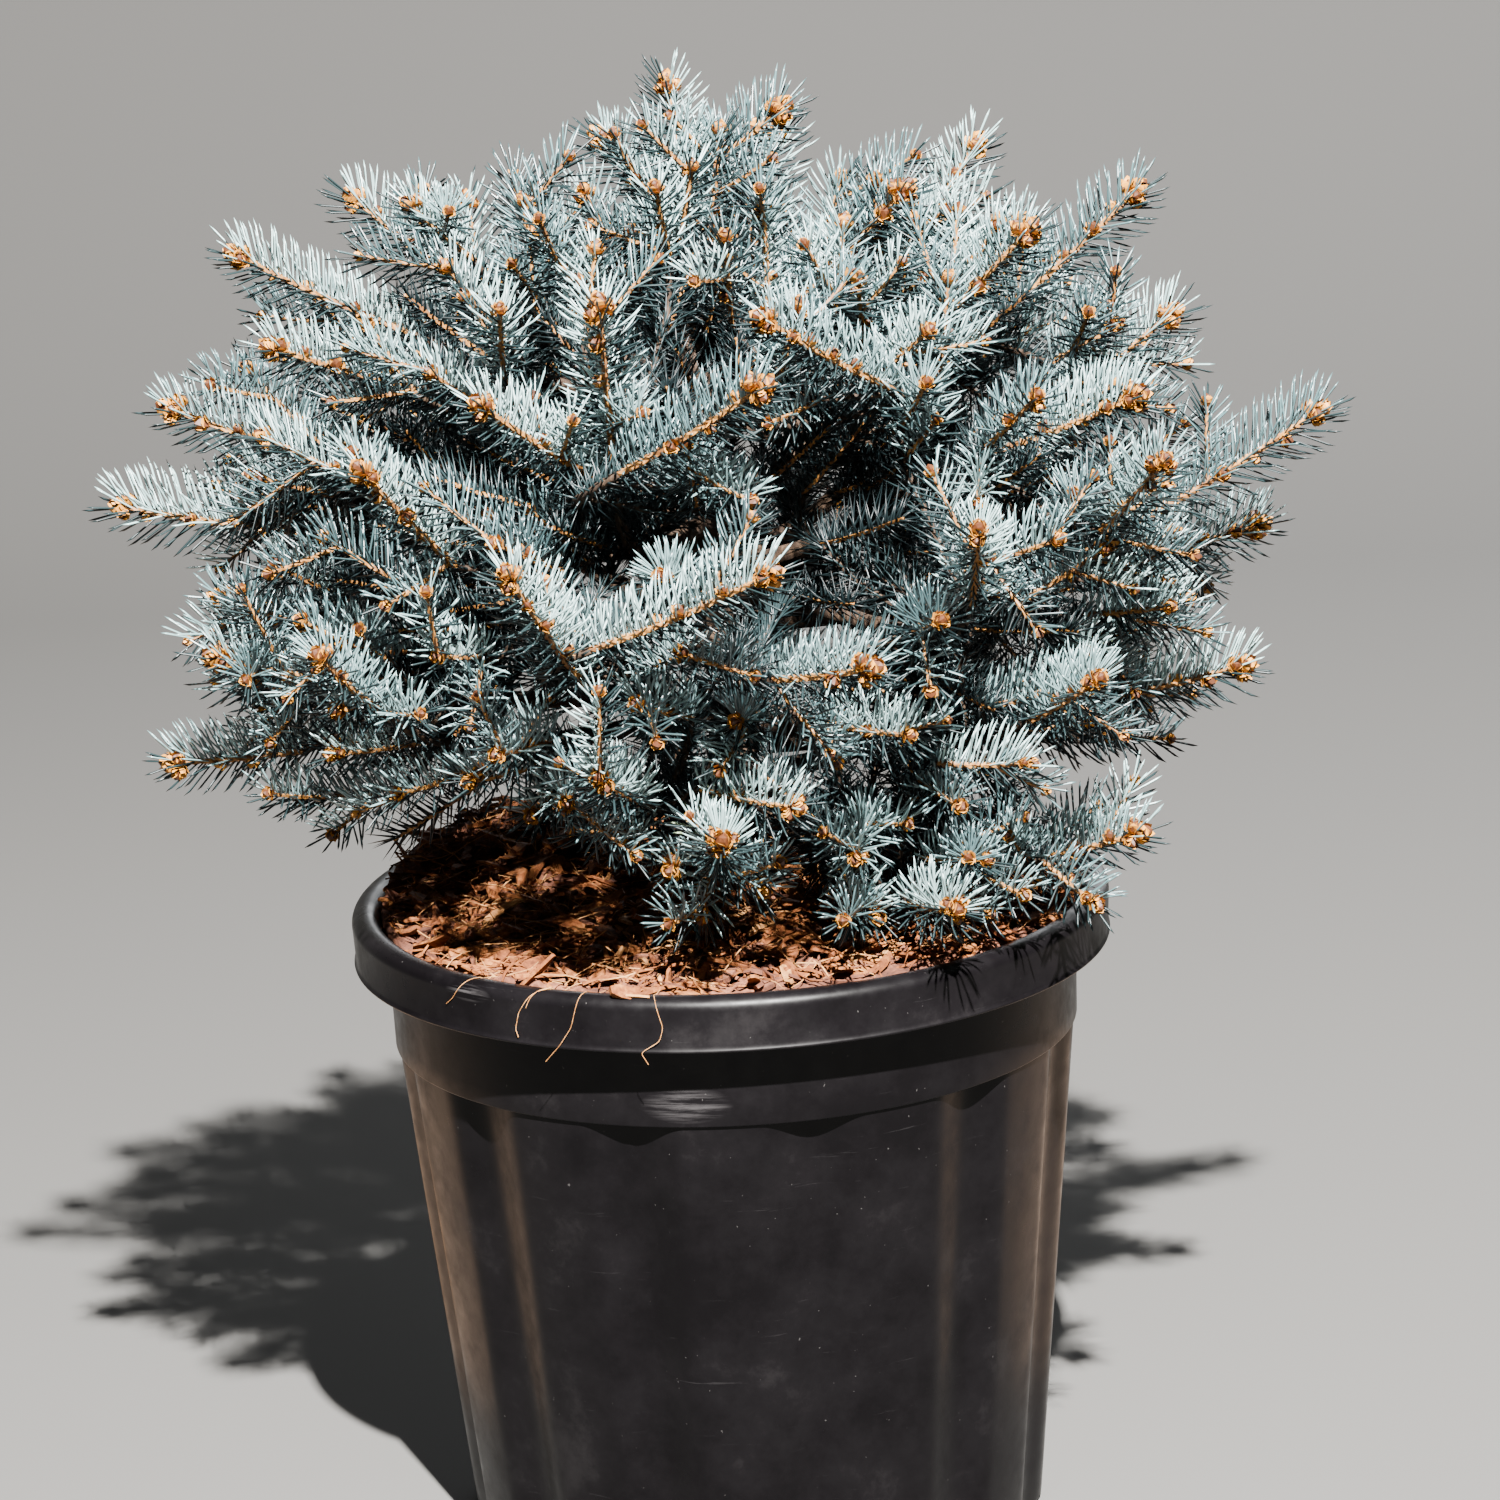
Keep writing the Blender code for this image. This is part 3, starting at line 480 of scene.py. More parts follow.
# Ring of buds round a tip: noise of the turn, slant in degrees, and drop and size in shares of the length
# of the bud in the middle.
RING_NOISE = 0.25
RING_SLANT = (46, 64)
RING_DROP = (0.25, 0.5)
RING_SIZES = (0.70, 0.92)

# Lone buds along a shoot: slant in degrees, size, and how they spread, head outwards and rise.
LONE_SLANT = (38, 58)
LONE_SIZES = (0.6, 0.85)
LONE_SPREAD = 0.7
LONE_OUTWARD = 0.8
LONE_RISE = 0.6

# Whorls of scales: height of the foot, count and how far the tips stand out, in shares of a bud's length.
BUD_WHORLS = ((0.00, 5, 0.17), (0.17, 5, 0.15), (0.34, 5, 0.12), (0.50, 4, 0.09), (0.64, 3, 0.05))
SMALL_BUD_WHORLS = ((0.04, 4, 0.16), (0.26, 4, 0.13), (0.48, 3, 0.08))

# Corners of a scale, which ends in a point: share of its half width, rise, way out, and share of the flare.
SCALE_WIDTH = 0.78
SCALE_TWIST = 0.3
SCALE_CORNERS = (
    (-1, 0, 0.015, 0),
    (1, 0, 0.015, 0),
    (-0.85, 0.17, 0.06, 0.4),
    (0.85, 0.17, 0.06, 0.4),
    (0, 0.34, 0.05, 1),
)

# Camera: it looks along +Y, pitched down and rolled a little, in degrees.
CAMERA_PITCH = 14.63
CAMERA_ROLL = -2.85
CAMERA_DISTANCE = 2.907
CAMERA_SIDESTEP = 0.0108
CAMERA_LIFT = 0.0723
CAMERA_LENS = 132
CAMERA_SENSOR = 36

# Lights: name, place, what each looks at, size, power and colour.
LIGHTS = (
    ("key", (0.34, -2.2, 3.0), (0, 0, 0.45), 0.06, 2600, (1.0, 0.975, 0.94)),
    ("fill_left", (-2.6, -1.3, 1.3), (0, 0, 0.45), 1.8, 5, (0.92, 0.96, 1.0)),
    ("back", (0.7, 3.0, 1.1), (0, 0, 0.4), 2.0, 60, (0.94, 0.97, 1.0)),
    ("warm_left", (-0.55, 0.28, 0.004), (-0.55, 0.28, 1), 0.55, 1.2, (1.0, 0.52, 0.24)),
    ("warm_right", (0.55, 0.28, 0.004), (0.55, 0.28, 1), 0.55, 1.0, (1.0, 0.52, 0.24)),
)
WORLD_COLOUR = (0.90, 0.95, 1.0, 1)
WORLD_STRENGTH = 0.05
FLOOR_COLOUR = (0.063, 0.062, 0.060)

# Floor: half its width, where it starts and where it sweeps up, the sweep's radius and steps, and its top.
FLOOR_REACH = 7.0
FLOOR_FRONT = -6.0
FLOOR_BACK = 2.2
SWEEP_RADIUS = 1.2
SWEEP_STEPS = 12
FLOOR_TOP = 5.0


# Small helpers, shared by the growth rule and the meshes

def unit(vector):
    return vector / np.linalg.norm(vector)


def units(vectors):
    """Each row scaled to length 1."""
    return vectors / np.maximum(np.linalg.norm(vectors, axis=1), TINY)[:, None]


def heading(azimuth, elevation):
    """The unit vector at an azimuth and an elevation in degrees."""
    across = cos(radians(elevation))
    return np.array((
        across * cos(radians(azimuth)),
        across * sin(radians(azimuth)),
        sin(radians(elevation)),
    ))


def round_pot(azimuth, radius, height):
    """A place at an azimuth in degrees and a radius from the pot's axis."""
    return (radius * cos(radians(azimuth)), radius * sin(radians(azimuth)), height)


def circle(count):
    """Even turns round a circle, and the points of radius 1 at them."""
    turns = 2 * pi * np.arange(count) / count
    return turns, np.stack((np.cos(turns), np.sin(turns)), axis=1)


def level_ring(around, reach, height):
    """Points of a circle carried out to a reach, or to one for each point, at a height."""
    return np.column_stack((around * np.reshape(reach, (-1, 1)), np.full(len(around), height)))


def segment_distances(points, starts, ends):
    """Distance from every point to every segment."""
    along = ends - starts
    offset = points[:, None, :] - starts[None, :, :]
    share = (offset * along).sum(axis=2) / np.maximum((along * along).sum(axis=1), TINY)
    share = np.clip(share, 0, 1)
    return np.linalg.norm(offset - share[:, :, None] * along, axis=2)


def bezier(start, first, second, end, steps):
    """Points along a cubic curve."""
    made = []
    for step in range(steps + 1):
        t = step / steps
        made.append(
            start * (1 - t) ** 3
            + first * 3 * t * (1 - t) ** 2
            + second * 3 * t * t * (1 - t)
            + end * t ** 3
        )
    return np.array(made)


def lengths_along(points):
    """Distance from the first point to each point, along the line."""
    steps = np.linalg.norm(np.diff(points, axis=0), axis=1)
    return np.concatenate(([0], np.cumsum(steps)))


def ways_along(points):
    """The unit tangent at each point of a line."""
    ways = np.gradient(points, axis=0)
    return ways / np.linalg.norm(ways, axis=1)[:, None]


def places_on_line(points, distances):
    """Points of a line at distances along it."""
    along = lengths_along(points)
    return np.stack([np.interp(distances, along, points[:, axis]) for axis in range(3)], axis=1)


def part_of_line(points, start, end, steps):
    """Evenly spaced points on a line, between two distances along it."""
    return places_on_line(points, np.linspace(start, end, steps + 1))


def finely(points):
    """The same line with a point every few millimetres."""
    total = lengths_along(points)[-1]
    return part_of_line(points, 0, total, max(1, ceil(total / LINE_SAMPLE)))


# Trunk and growth rule, with which the part's source places the same limbs and shoots

def mulch_top():
    """Height of the flat patch of mulch that the trunk stands on."""
    return POT_HEIGHT - MULCH_EDGE_DROP + MULCH_RISE


def heap_rise(x, y):
    """How much higher the mulch lies in the heap at the back left."""
    gap = (x - HEAP_PLACE[0]) ** 2 + (y - HEAP_PLACE[1]) ** 2
    return HEAP_HEIGHT * np.exp(-gap / HEAP_SIZE ** 2)


def trunk_axis(share):
    """A point on the leaning, gently bent axis, from the cut at the mulch to the tip."""
    foot = np.array((*TRUNK_FOOT, mulch_top() + CLEARANCE))
    tip = np.array(TRUNK_TIP)
    bend = np.array((TRUNK_BEND, -TRUNK_BEND, 0)) * sin(pi * share)
    return foot + (tip - foot) * share + bend


def trunk_radius(share):
    """Even taper above the root flare."""
    height = share * (TRUNK_TIP[2] - mulch_top())
    taper = TRUNK_RADIUS + (TRUNK_TIP_RADIUS - TRUNK_RADIUS) * share
    flare = max(0, 1 - height / FLARE_HEIGHT) ** 2
    return taper + (FLARE_RADIUS - TRUNK_RADIUS) * flare


class Branch:
    """A limb or twig: its axis, the radius at each point and where its needles start."""

    def __init__(self, points, radii, mass, needles_from=None, kind="limb"):
        self.points = np.array(points)
        self.radii = np.array(radii)
        self.mass = mass
        self.needles_from = needles_from
        self.kind = kind

    def segments(self):
        """Starts, ends and radii of the axis's segments."""
        return self.points[:-1], self.points[1:], np.maximum(self.radii[:-1], self.radii[1:])

    def shoot(self):
        """The needled part of the axis."""
        return self.points[self.needles_from:]

    def drawn(self):
        """The needled part as drawn: outer shoots stop short by what their last needles stand out."""
        trim = TIP_TRIM * (self.kind != "inner")
        line = self.shoot()
        return part_of_line(line, 0, lengths_along(line)[-1] - trim, len(line) - 1)

    def bare(self):
        """The part of the axis before its needles."""
        return self.points[:self.needles_from + 1]


def shoot_line(tip, direction, length):
    """The axis of one shoot, from its foot to its tip, curving up a little."""
    foot = tip - direction * length
    sag = np.array((0, 0, -SHOOT_SAG * length))
    middle = (foot + tip) / 2 + sag
    steps = max(SHORTEST_SHOOT_STEPS, ceil(length / NEEDLE_PITCH))
    return bezier(foot, (foot + 2 * middle) / 3, (tip + 2 * middle) / 3, tip, steps)


def with_shoot(line, radii, shoot, mass, kind):
    """A stem or twig and the shoot at its end as one branch."""
    shoot_radii = np.linspace(CORE_RADIUS, CORE_TIP_RADIUS, len(shoot) - 1)
    points = np.concatenate((line, shoot[1:]))
    return Branch(points, np.concatenate((radii, shoot_radii)), mass, len(line) - 1, kind)


def in_pot(points, margin):
    """Which points lie within a margin of the lip's reach and of the mulch's top, or below it."""
    inside = np.hypot(points[:, 0], points[:, 1]) < LIP_RADIUS + margin
    return inside & (points[:, 2] < mulch_top() + heap_rise(points[:, 0], points[:, 1]) + margin)


def dip(way):
    """How far the crown's surface falls in along a way, round the gap at its top left."""
    angle = degrees(acos(min(1, way.dot(heading(*DIP_WAY)))))
    return DIP_DEPTH * exp(-(angle / DIP_WIDTH) ** 2)


class Space:
    """The segments of every branch placed so far, for quick distances."""

    def __init__(self):
        self.numbers = {}
        self.starts = np.zeros((0, 3))
        self.ends = np.zeros((0, 3))
        self.thick = np.zeros(0)
        self.masses = np.zeros(0, int)
        self.owners = np.zeros(0, int)

    def number(self, mass):
        """The number that stands for a mass."""
        return self.numbers.setdefault(mass, len(self.numbers))

    def add(self, branch, owner):
        starts, ends, thick = branch.segments()
        self.starts = np.concatenate((self.starts, starts))
        self.ends = np.concatenate((self.ends, ends))
        self.thick = np.concatenate((self.thick, thick))
        self.masses = np.concatenate((self.masses, np.full(len(thick), self.number(branch.mass))))
        self.owners = np.concatenate((self.owners, np.full(len(thick), owner)))

    def gap(self, points, chosen):
        """The least gap between a line and the bark of the chosen segments, or NEAR where it is more."""
        low = points.min(axis=0) - NEAR
        high = points.max(axis=0) + NEAR
        close = (np.minimum(self.starts, self.ends) < high) & (np.maximum(self.starts, self.ends) > low)
        chosen = chosen & close.all(axis=1)
        if not chosen.any():
            return NEAR
        distances = segment_distances(points, self.starts[chosen], self.ends[chosen])
        return min(NEAR, (distances - self.thick[chosen]).min())


class Crown:
    """Every limb and shoot of the plant, with the rule that keeps them apart."""

    def __init__(self):
        self.centre = np.array(CROWN_CENTRE)
        self.branches = []
        self.space = Space()
        self.boughs = {}
        self.masses = {}
        self.leader_tips = []
        self.add_trunk_segments()
        plan = self.plan()
        places = np.linspace(LOWEST_BOUGH, HIGHEST_BOUGH, len(plan) - 1)
        for name, place in zip(plan, (*places, HIGHEST_BOUGH)):
            self.add_limb(name, plan[name], place)
        self.add_side_shoots((0, 1))
        self.add_side_shoots((2,))
        self.add_inner_shoots()
        self.add_low_shoots()
        self.add_fine_shoots()

    def place(self, branch):
        """Give a branch its space."""
        self.space.add(branch, len(self.branches))
        self.branches.append(branch)

    def shoots(self):
        """Every branch that carries needles."""
        return [branch for branch in self.branches if branch.needles_from is not None]

    def read_row(self, row):
        """The tip, direction and length of the shoot that a row of a table gives."""
        azimuth, elevation, reach, turn, rise, length = row
        tip = self.centre + heading(azimuth, elevation) * reach * MM
        return tip, heading(turn, rise), length * MM

    def plan(self):
        """The table's masses and the back's, from the lowest foot of a leading shoot to the highest."""
        plan = dict(LEADERS)
        for index in range(BACK_MASSES):
            azimuth = BACK_AZIMUTH + BACK_SWEEP * ((index * GOLDEN_ANGLE / (2 * pi)) % 1)
            elevation = BACK_ELEVATION + BACK_CLIMB * index
            rise = BACK_RISE + BACK_RISE_GAIN * elevation
            reach = BACK_REACH - BACK_FLATTENING * sin(radians(elevation))
            reach -= dip(heading(azimuth, elevation)) / MM
            plan[f"back_{index + 1}"] = ((azimuth, elevation, reach, azimuth, rise, BACK_SHOOT),)
        return dict(sorted(plan.items(), key=lambda item: self.foot_height(item[1][0])))

    def foot_height(self, row):
        """How high a leading shoot starts above the crown's centre."""
        _, elevation, reach, _, rise, length = row
        return reach * sin(radians(elevation)) - length * sin(radians(rise))

    def add_trunk_segments(self):
        shares = np.linspace(0, 1, TRUNK_SEGMENTS + 1)
        points = [trunk_axis(share) for share in shares]
        radii = [trunk_radius(share) for share in shares]
        self.place(Branch(points, radii, "trunk"))

    def clear(self, points, radius, ignored):
        """Whether a line keeps its distance from every branch but those of one mass."""
        if in_pot(points, radius + POT_ROOM).any():
            return False
        others = self.space.masses != self.space.number(ignored)
        return self.space.gap(points, others) - radius >= LIMB_MARGIN

    def limb_line(self, share, azimuth, foot, direction):
        """A curve from the trunk's bark to a leading shoot's foot, and the way it leaves the bark."""
        centre = trunk_axis(share)
        lean = unit(trunk_axis(min(1, share + LEAN_STEP)) - trunk_axis(share - LEAN_STEP))
        out = np.array((cos(azimuth), sin(azimuth), 0))
        out = unit(out - lean * out.dot(lean))
        start = centre + out * (trunk_radius(share) + CLEARANCE)
        pull = LIMB_PULL * np.linalg.norm(foot - start)
        return bezier(start, start + out * pull, foot - direction * pull, foot, LIMB_STEPS), out

    def add_limb(self, name, rows, place):
        """The bough, the stem and the leading shoots of one mass, near a place up the trunk from 0 to 1."""
        tip, direction, length = self.read_row(rows[0])
        shoot = shoot_line(tip, direction, length)
        foot = shoot[0]
        if name == "top":
            start_way = np.array((0, 0, 1))
            start = trunk_axis(1) + start_way * CLEARANCE
            line = bezier(start, start + start_way * TOP_PULL, foot - direction * TOP_PULL, foot, TOP_STEPS)
        else:
            line, start_way = self.free_limb_line(name, place, foot, direction)
        total = lengths_along(line)[-1]
        bough_length = total - STEM_LENGTH
        stem_start = 0
        stem_way = start_way
        if bough_length >= BOUGH_SHORTEST:
            ends = (bough_length - LINE_SAMPLE, bough_length + LINE_SAMPLE)
            before, after = part_of_line(line, *ends, 1)
            stem_way = unit(after - before)
            bough_line = part_of_line(line, 0, bough_length, BOUGH_STEPS)
            radii = np.linspace(self.bough_radius(place), BOUGH_TIP_RADIUS, BOUGH_STEPS + 1)
            bough = Branch(bough_line, radii, "bough_" + name)
            self.boughs[name] = bough
            self.place(bough)
            stem_start = bough_length
        stem_steps = max(2, ceil((total - stem_start) / STEM_STEP))
        stem_line = part_of_line(line, stem_start, total, stem_steps)
        stem_line[0] += stem_way * CLEARANCE * (stem_start > 0)
        self.join_stem_and_shoot(name, stem_line, shoot)
        for row in rows[1:]:
            self.add_leading_shoot(name, row)

    def free_limb_line(self, name, place, foot, direction):
        """Try places up and round the trunk until a limb touches no other."""
        to_foot = foot - trunk_axis(place)
        straight_out = np.arctan2(to_foot[1], to_foot[0])
        radius = self.bough_radius(place)
        for step in range(LIMB_TRIES):
            share = place + (-1) ** step * PLACE_STEP * (step % PLACES_A_TURN // 2)
            azimuth = straight_out + (-1) ** step * radians(TURN_STEP) * (step // PLACES_A_TURN)
            share = min(max(share, LOWEST_BOUGH), HIGHEST_BOUGH)
            line, out = self.limb_line(share, azimuth, foot, direction)
            if self.clear(finely(line), radius, "trunk"):
                return line, out
        raise ValueError(f"no free way for the limb of {name}")

    def bough_radius(self, place):
        """Boughs are thinner higher up the trunk."""
        return BOUGH_RADIUS + (HIGH_BOUGH_RADIUS - BOUGH_RADIUS) * place

    def join_stem_and_shoot(self, name, stem_line, shoot):
        """One branch of the stem and the first leading shoot, with needles on the shoot."""
        stem_radii = np.linspace(STEM_RADIUS, STEM_TIP_RADIUS, len(stem_line))
        made = with_shoot(stem_line, stem_radii, shoot, name, "leader")
        self.masses[name] = [made]
        self.place(made)
        self.note_leader(name, shoot[-1])

    def note_leader(self, name, tip):
        """Keep the way to a leading shoot's tip, and its reach with the dip filled in."""
        from_centre = tip - self.centre
        way = unit(from_centre)
        self.leader_tips.append((name, way, np.linalg.norm(from_centre) + dip(way)))

    def add_leading_shoot(self, name, row):
        """A second or third leading shoot, which has to find its place."""
        tip, direction, length = self.read_row(row)
        self.note_leader(name, tip)
        if not self.add_shoot(name, tip, direction, length, "leader"):
            raise ValueError(f"no free way for a leading shoot of {name}")

    def add_shoot(self, name, tip, direction, length, kind):
        """A shoot on a twig from its mass's stem, at the best fork that keeps it clear of everything."""
        stem_line = self.masses[name][0].bare()
        last_fork = lengths_along(stem_line)[-1] - FORK_END
        places = part_of_line(stem_line, FORK_START, last_fork, FORK_PLACES)
        ways = ways_along(places)
        for share in SHOOT_TRIES:
            shoot = shoot_line(tip, direction, length * share)
            to_foot = shoot[0] - places
            reaches = np.linalg.norm(to_foot, axis=1)
            angles = np.arccos(np.clip((to_foot * ways).sum(axis=1) / reaches, -1, 1))
            costs = reaches + FORK_ANGLE_WEIGHT * np.abs(angles - radians(FORK_ANGLE))
            for best in np.argsort(costs)[::2]:
                branch = self.forked_branch(name, places[best], ways[best], shoot, direction, kind)
                if self.branch_fits(branch):
                    self.masses[name].append(branch)
                    self.place(branch)
                    return True
        return False

    def forked_branch(self, name, fork, stem_way, shoot, direction, kind):
        """A twig that leaves a stem at a slant and turns into the shoot."""
        to_foot = shoot[0] - fork
        reach = np.linalg.norm(to_foot)
        leaving = unit(to_foot + stem_way * reach * TWIG_ALONG_STEM)
        pull = reach * TWIG_PULL
        steps = max(1, round(reach / TWIG_STEP))
        twig = bezier(fork, fork + leaving * pull, shoot[0] - direction * pull, shoot[0], steps)
        return with_shoot(twig, np.full(len(twig), TWIG_RADIUS), shoot, name, kind)

    def branch_fits(self, branch):
        """Whether a forked branch keeps off every other branch, beyond the fork on its own stem."""
        fine = finely(branch.points)
        if not self.clear(fine, CORE_RADIUS, branch.mass):
            return False
        beyond_fork = fine[np.linalg.norm(fine - fine[0], axis=1) > FORK_ROOM]
        sisters = self.space.masses == self.space.number(branch.mass)
        return self.space.gap(beyond_fork, sisters) - CORE_RADIUS >= LIMB_MARGIN

    def surface_reach(self, direction):
        """Reach of the crown's surface, smoothed between the leading shoots."""
        nearness = np.array([way.dot(direction) for _, way, _ in self.leader_tips])
        weights = np.exp(REACH_SHARPNESS * (nearness - 1))
        reaches = [reach for _, _, reach in self.leader_tips]
        return float(weights.dot(reaches) / weights.sum()) - dip(direction)

    def takes_a_tip(self, way, tip):
        """Whether a side shoot may end at a tip: in no hollow, and above the crown's underside."""
        for azimuth, elevation, radius in HOLLOWS:
            if way.dot(heading(azimuth, elevation)) > cos(radians(radius)):
                return False
        azimuth = degrees(atan2(way[1], way[0]))
        return tip[2] > UNDERSIDE or LOW_FRONT[0] < azimuth < LOW_FRONT[1]

    def add_leaning_shoot(self, name, way, tip, lift, lengths, kind, draw):
        """A shoot that heads out and up, and leans a little to any side."""
        lean = [draw.uniform(-SHOOT_LEAN, SHOOT_LEAN) for _ in range(2)]
        direction = unit(way + np.array((*lean, lift)))
        self.add_shoot(name, tip, direction, draw.uniform(*lengths), kind)

    def even_way(self, index, count, draw):
        """One of an even set of ways out of the crown's centre."""
        rise = 1 - 2 * (index + 0.5) / count
        turn = index * GOLDEN_ANGLE + draw.uniform(-TIP_JITTER, TIP_JITTER)
        across = sqrt(1 - rise * rise)
        return np.array((across * cos(turn), across * sin(turn), rise))

    def nearest_leader(self, way):
        """The mass whose leading shoot lies nearest to a way, and how near."""
        nearness = [way.dot(leader_way) for _, leader_way, _ in self.leader_tips]
        nearest = int(np.argmax(nearness))
        return self.leader_tips[nearest][0], nearness[nearest]

    def add_side_shoots(self, thirds):
        """Side shoots whose tips lie evenly over the crown, each in the mass with the nearest leader."""
        for index in range(TIP_COUNT):
            if index % 3 not in thirds:
                continue
            draw = Random(CROWN_SEED * SEED_STEP + index)
            way = self.even_way(index, TIP_COUNT, draw)
            name, nearness = self.nearest_leader(way)
            if not cos(radians(CELL_RADIUS)) <= nearness <= cos(radians(TIP_SPACING)):
                continue
            tip = self.centre + way * self.surface_reach(way) * draw.uniform(*TIP_REACH)
            if not self.takes_a_tip(way, tip):
                continue
            self.add_leaning_shoot(name, way, tip, SHOOT_LIFT, SHOOT_LENGTH, "side", draw)

    def add_inner_shoots(self):
        """Shaded shoots behind the outer ones, in two shells."""
        for shell, (count, share) in enumerate(INNER_SHELLS):
            for index in range(count):
                draw = Random((INNER_SEED + shell) * SEED_STEP + index)
                way = self.even_way(index, count, draw)
                name, nearness = self.nearest_leader(way)
                reach = self.surface_reach(way) * (share + draw.uniform(-INNER_SPREAD, INNER_SPREAD))
                tip = self.centre + way * reach
                if nearness >= cos(radians(CELL_RADIUS)) and self.takes_a_tip(way, tip):
                    self.add_leaning_shoot(name, way, tip, INNER_LIFT, INNER_LENGTH, "inner", draw)

    def add_low_shoots(self):
        """The small shoots low in front, which hang over the mulch and the lip."""
        for row in LOW_SHOOTS:
            name, _ = self.nearest_leader(heading(*row[:2]))
            self.add_shoot(name, *self.read_row(row), "side")

    def add_fine_shoots(self):
        """Short shoots that fork from the outer shoots wherever there is room."""
        parents = [row for row in enumerate(self.branches) if row[1].kind in ("leader", "side")]
        for number, parent in parents:
            draw = Random(FINE_SEED * SEED_STEP + number)
            x, y, height = parent.points[-1]
            tries = BACK_TRIES if y > 0 else FINE_TRIES
            if height < LOW_FRONT_HEIGHT and LOW_FRONT[0] < degrees(atan2(y, x)) < LOW_FRONT[1]:
                tries = LOW_FRONT_TRIES
            for _ in range(tries):
                self.try_fine_shoot(number, parent, draw)

    def try_fine_shoot(self, number, parent, draw):
        """One short shoot at a slant off a parent, kept within the crown's reach and off other shoots."""
        total = lengths_along(parent.points)[-1]
        from_tip = lengths_along(parent.shoot())[-1] * draw.uniform(*FINE_PLACES)
        place = max(2 * LINE_SAMPLE, total - from_tip)
        before, after = part_of_line(parent.points, place - LINE_SAMPLE, min(total, place + LINE_SAMPLE), 1)
        fork = (before + after) / 2
        way = unit(after - before)
        side = np.array([draw.gauss(0, 1) for _ in range(3)]) + unit(fork - self.centre) + (0, 0, FINE_RISE)
        side = unit(side - way * side.dot(way))
        angle = radians(draw.uniform(*FINE_ANGLE))
        direction = unit(way * cos(angle) + side * sin(angle))
        length = draw.uniform(*FINE_LENGTH)
        tip = fork + direction * length
        tip_way = unit(tip - self.centre)
        reach = self.surface_reach(tip_way) * FINE_REACH
        if np.linalg.norm(tip - self.centre) > reach or not self.takes_a_tip(tip_way, tip):
            return
        shoot = shoot_line(tip, direction, length)
        outer = finely(shoot)[FINE_CLEAR_FROM:]
        if in_pot(outer, FINE_POT_ROOM).any():
            return
        if self.space.gap(outer, self.space.owners != number) < FINE_GAP:
            return
        radii = np.linspace(CORE_RADIUS, CORE_TIP_RADIUS, len(shoot))
        branch = Branch(shoot, radii, parent.mass, 0, "fine")
        self.masses[parent.mass].append(branch)
        self.place(branch)


# Joined meshes

class Heap:
    """Points and faces gathered for one joined mesh."""

    def __init__(self):
        self.points = []
        self.quads = [np.zeros((0, 4), int)]
        self.triangles = [np.zeros((0, 3), int)]
        self.count = 0

    def add(self, points, quads=(), triangles=()):
        """More points, with faces that count from the first of them."""
        self.points.append(np.asarray(points, float).reshape(-1, 3))
        self.quads.append(np.asarray(quads, int).reshape(-1, 4) + self.count)
        self.triangles.append(np.asarray(triangles, int).reshape(-1, 3) + self.count)
        self.count += len(self.points[-1])

    def add_copies(self, points, quads, triangles):
        """Many small bodies with the same faces: a row of points for each."""
        offsets = (np.arange(len(points)) * points.shape[1])[:, None, None]
        self.add(points, np.asarray(quads, int)[None] + offsets, np.asarray(triangles, int)[None] + offsets)

    def add_turned(self, form, place, way, size, turn):
        """A copy of a form that is 1 long along +Z: scaled, turned, and set along a way."""
        points, quads, triangles = form
        side = unit(np.cross(way, ODD_WAY))
        across = side * cos(turn) + np.cross(way, side) * sin(turn)
        frame = np.stack((across, np.cross(way, across), way))
        self.add(place + (points * size) @ frame, quads, triangles)

    def joined(self):
        """All points, quads and triangles."""
        return np.concatenate(self.points), np.concatenate(self.quads), np.concatenate(self.triangles)

    def mesh_object(self, name, finish, smooth=True):
        """The whole heap as one object."""
        mesh = bpy.data.meshes.new(name)
        points, quads, triangles = self.joined()
        starts = np.concatenate((
            np.arange(len(quads)) * 4,
            len(quads) * 4 + np.arange(len(triangles)) * 3,
        ))
        corners = np.concatenate((quads.ravel(), triangles.ravel()))
        mesh.vertices.add(len(points))
        mesh.vertices.foreach_set("co", points.astype(np.float32).ravel())
        mesh.loops.add(len(corners))
        mesh.loops.foreach_set("vertex_index", corners.astype(np.int32))
        mesh.polygons.add(len(starts))
        mesh.polygons.foreach_set("loop_start", starts.astype(np.int32))
        mesh.update(calc_edges=True)
        if smooth:
            mesh.shade_smooth()
        else:
            mesh.shade_flat()
        mesh.materials.append(finish)
        made = bpy.data.objects.new(name, mesh)
        bpy.context.scene.collection.objects.link(made)
        return made


def ring_quads(count, sides):
    """Faces between rings of points that follow one another, each with so many sides."""
    turn = np.arange(sides)
    after = (turn + 1) % sides
    low = np.arange(count - 1)[:, None] * sides
    corners = (low + turn, low + after, low + after + sides, low + turn + sides)
    return np.stack(corners, axis=2).reshape(-1, 4)


def add_rings(heap, rings, first, last):
    """A closed skin through rings of points, with a point in the middle of each end."""
    count, sides = rings.shape[:2]
    turn = np.arange(sides)
    after = (turn + 1) % sides
    top = (count - 1) * sides
    middle = np.full(sides, count * sides)
    foot_cap = np.stack((after, turn, middle), axis=1)
    top_cap = np.stack((top + turn, top + after, middle + 1), axis=1)
    points = np.concatenate((rings.reshape(-1, 3), [first, last]))
    heap.add(points, ring_quads(count, sides), np.concatenate((foot_cap, top_cap)))


def frames_along(points):
    """Two cross directions at each point of a line, carried along without twisting."""
    tangents = ways_along(points)
    side = unit(np.cross(tangents[0], ODD_WAY))
    sides = []
    for tangent in tangents:
        side = unit(side - tangent * side.dot(tangent))
        sides.append(side)
    sides = np.array(sides)
    return sides, np.cross(tangents, sides)


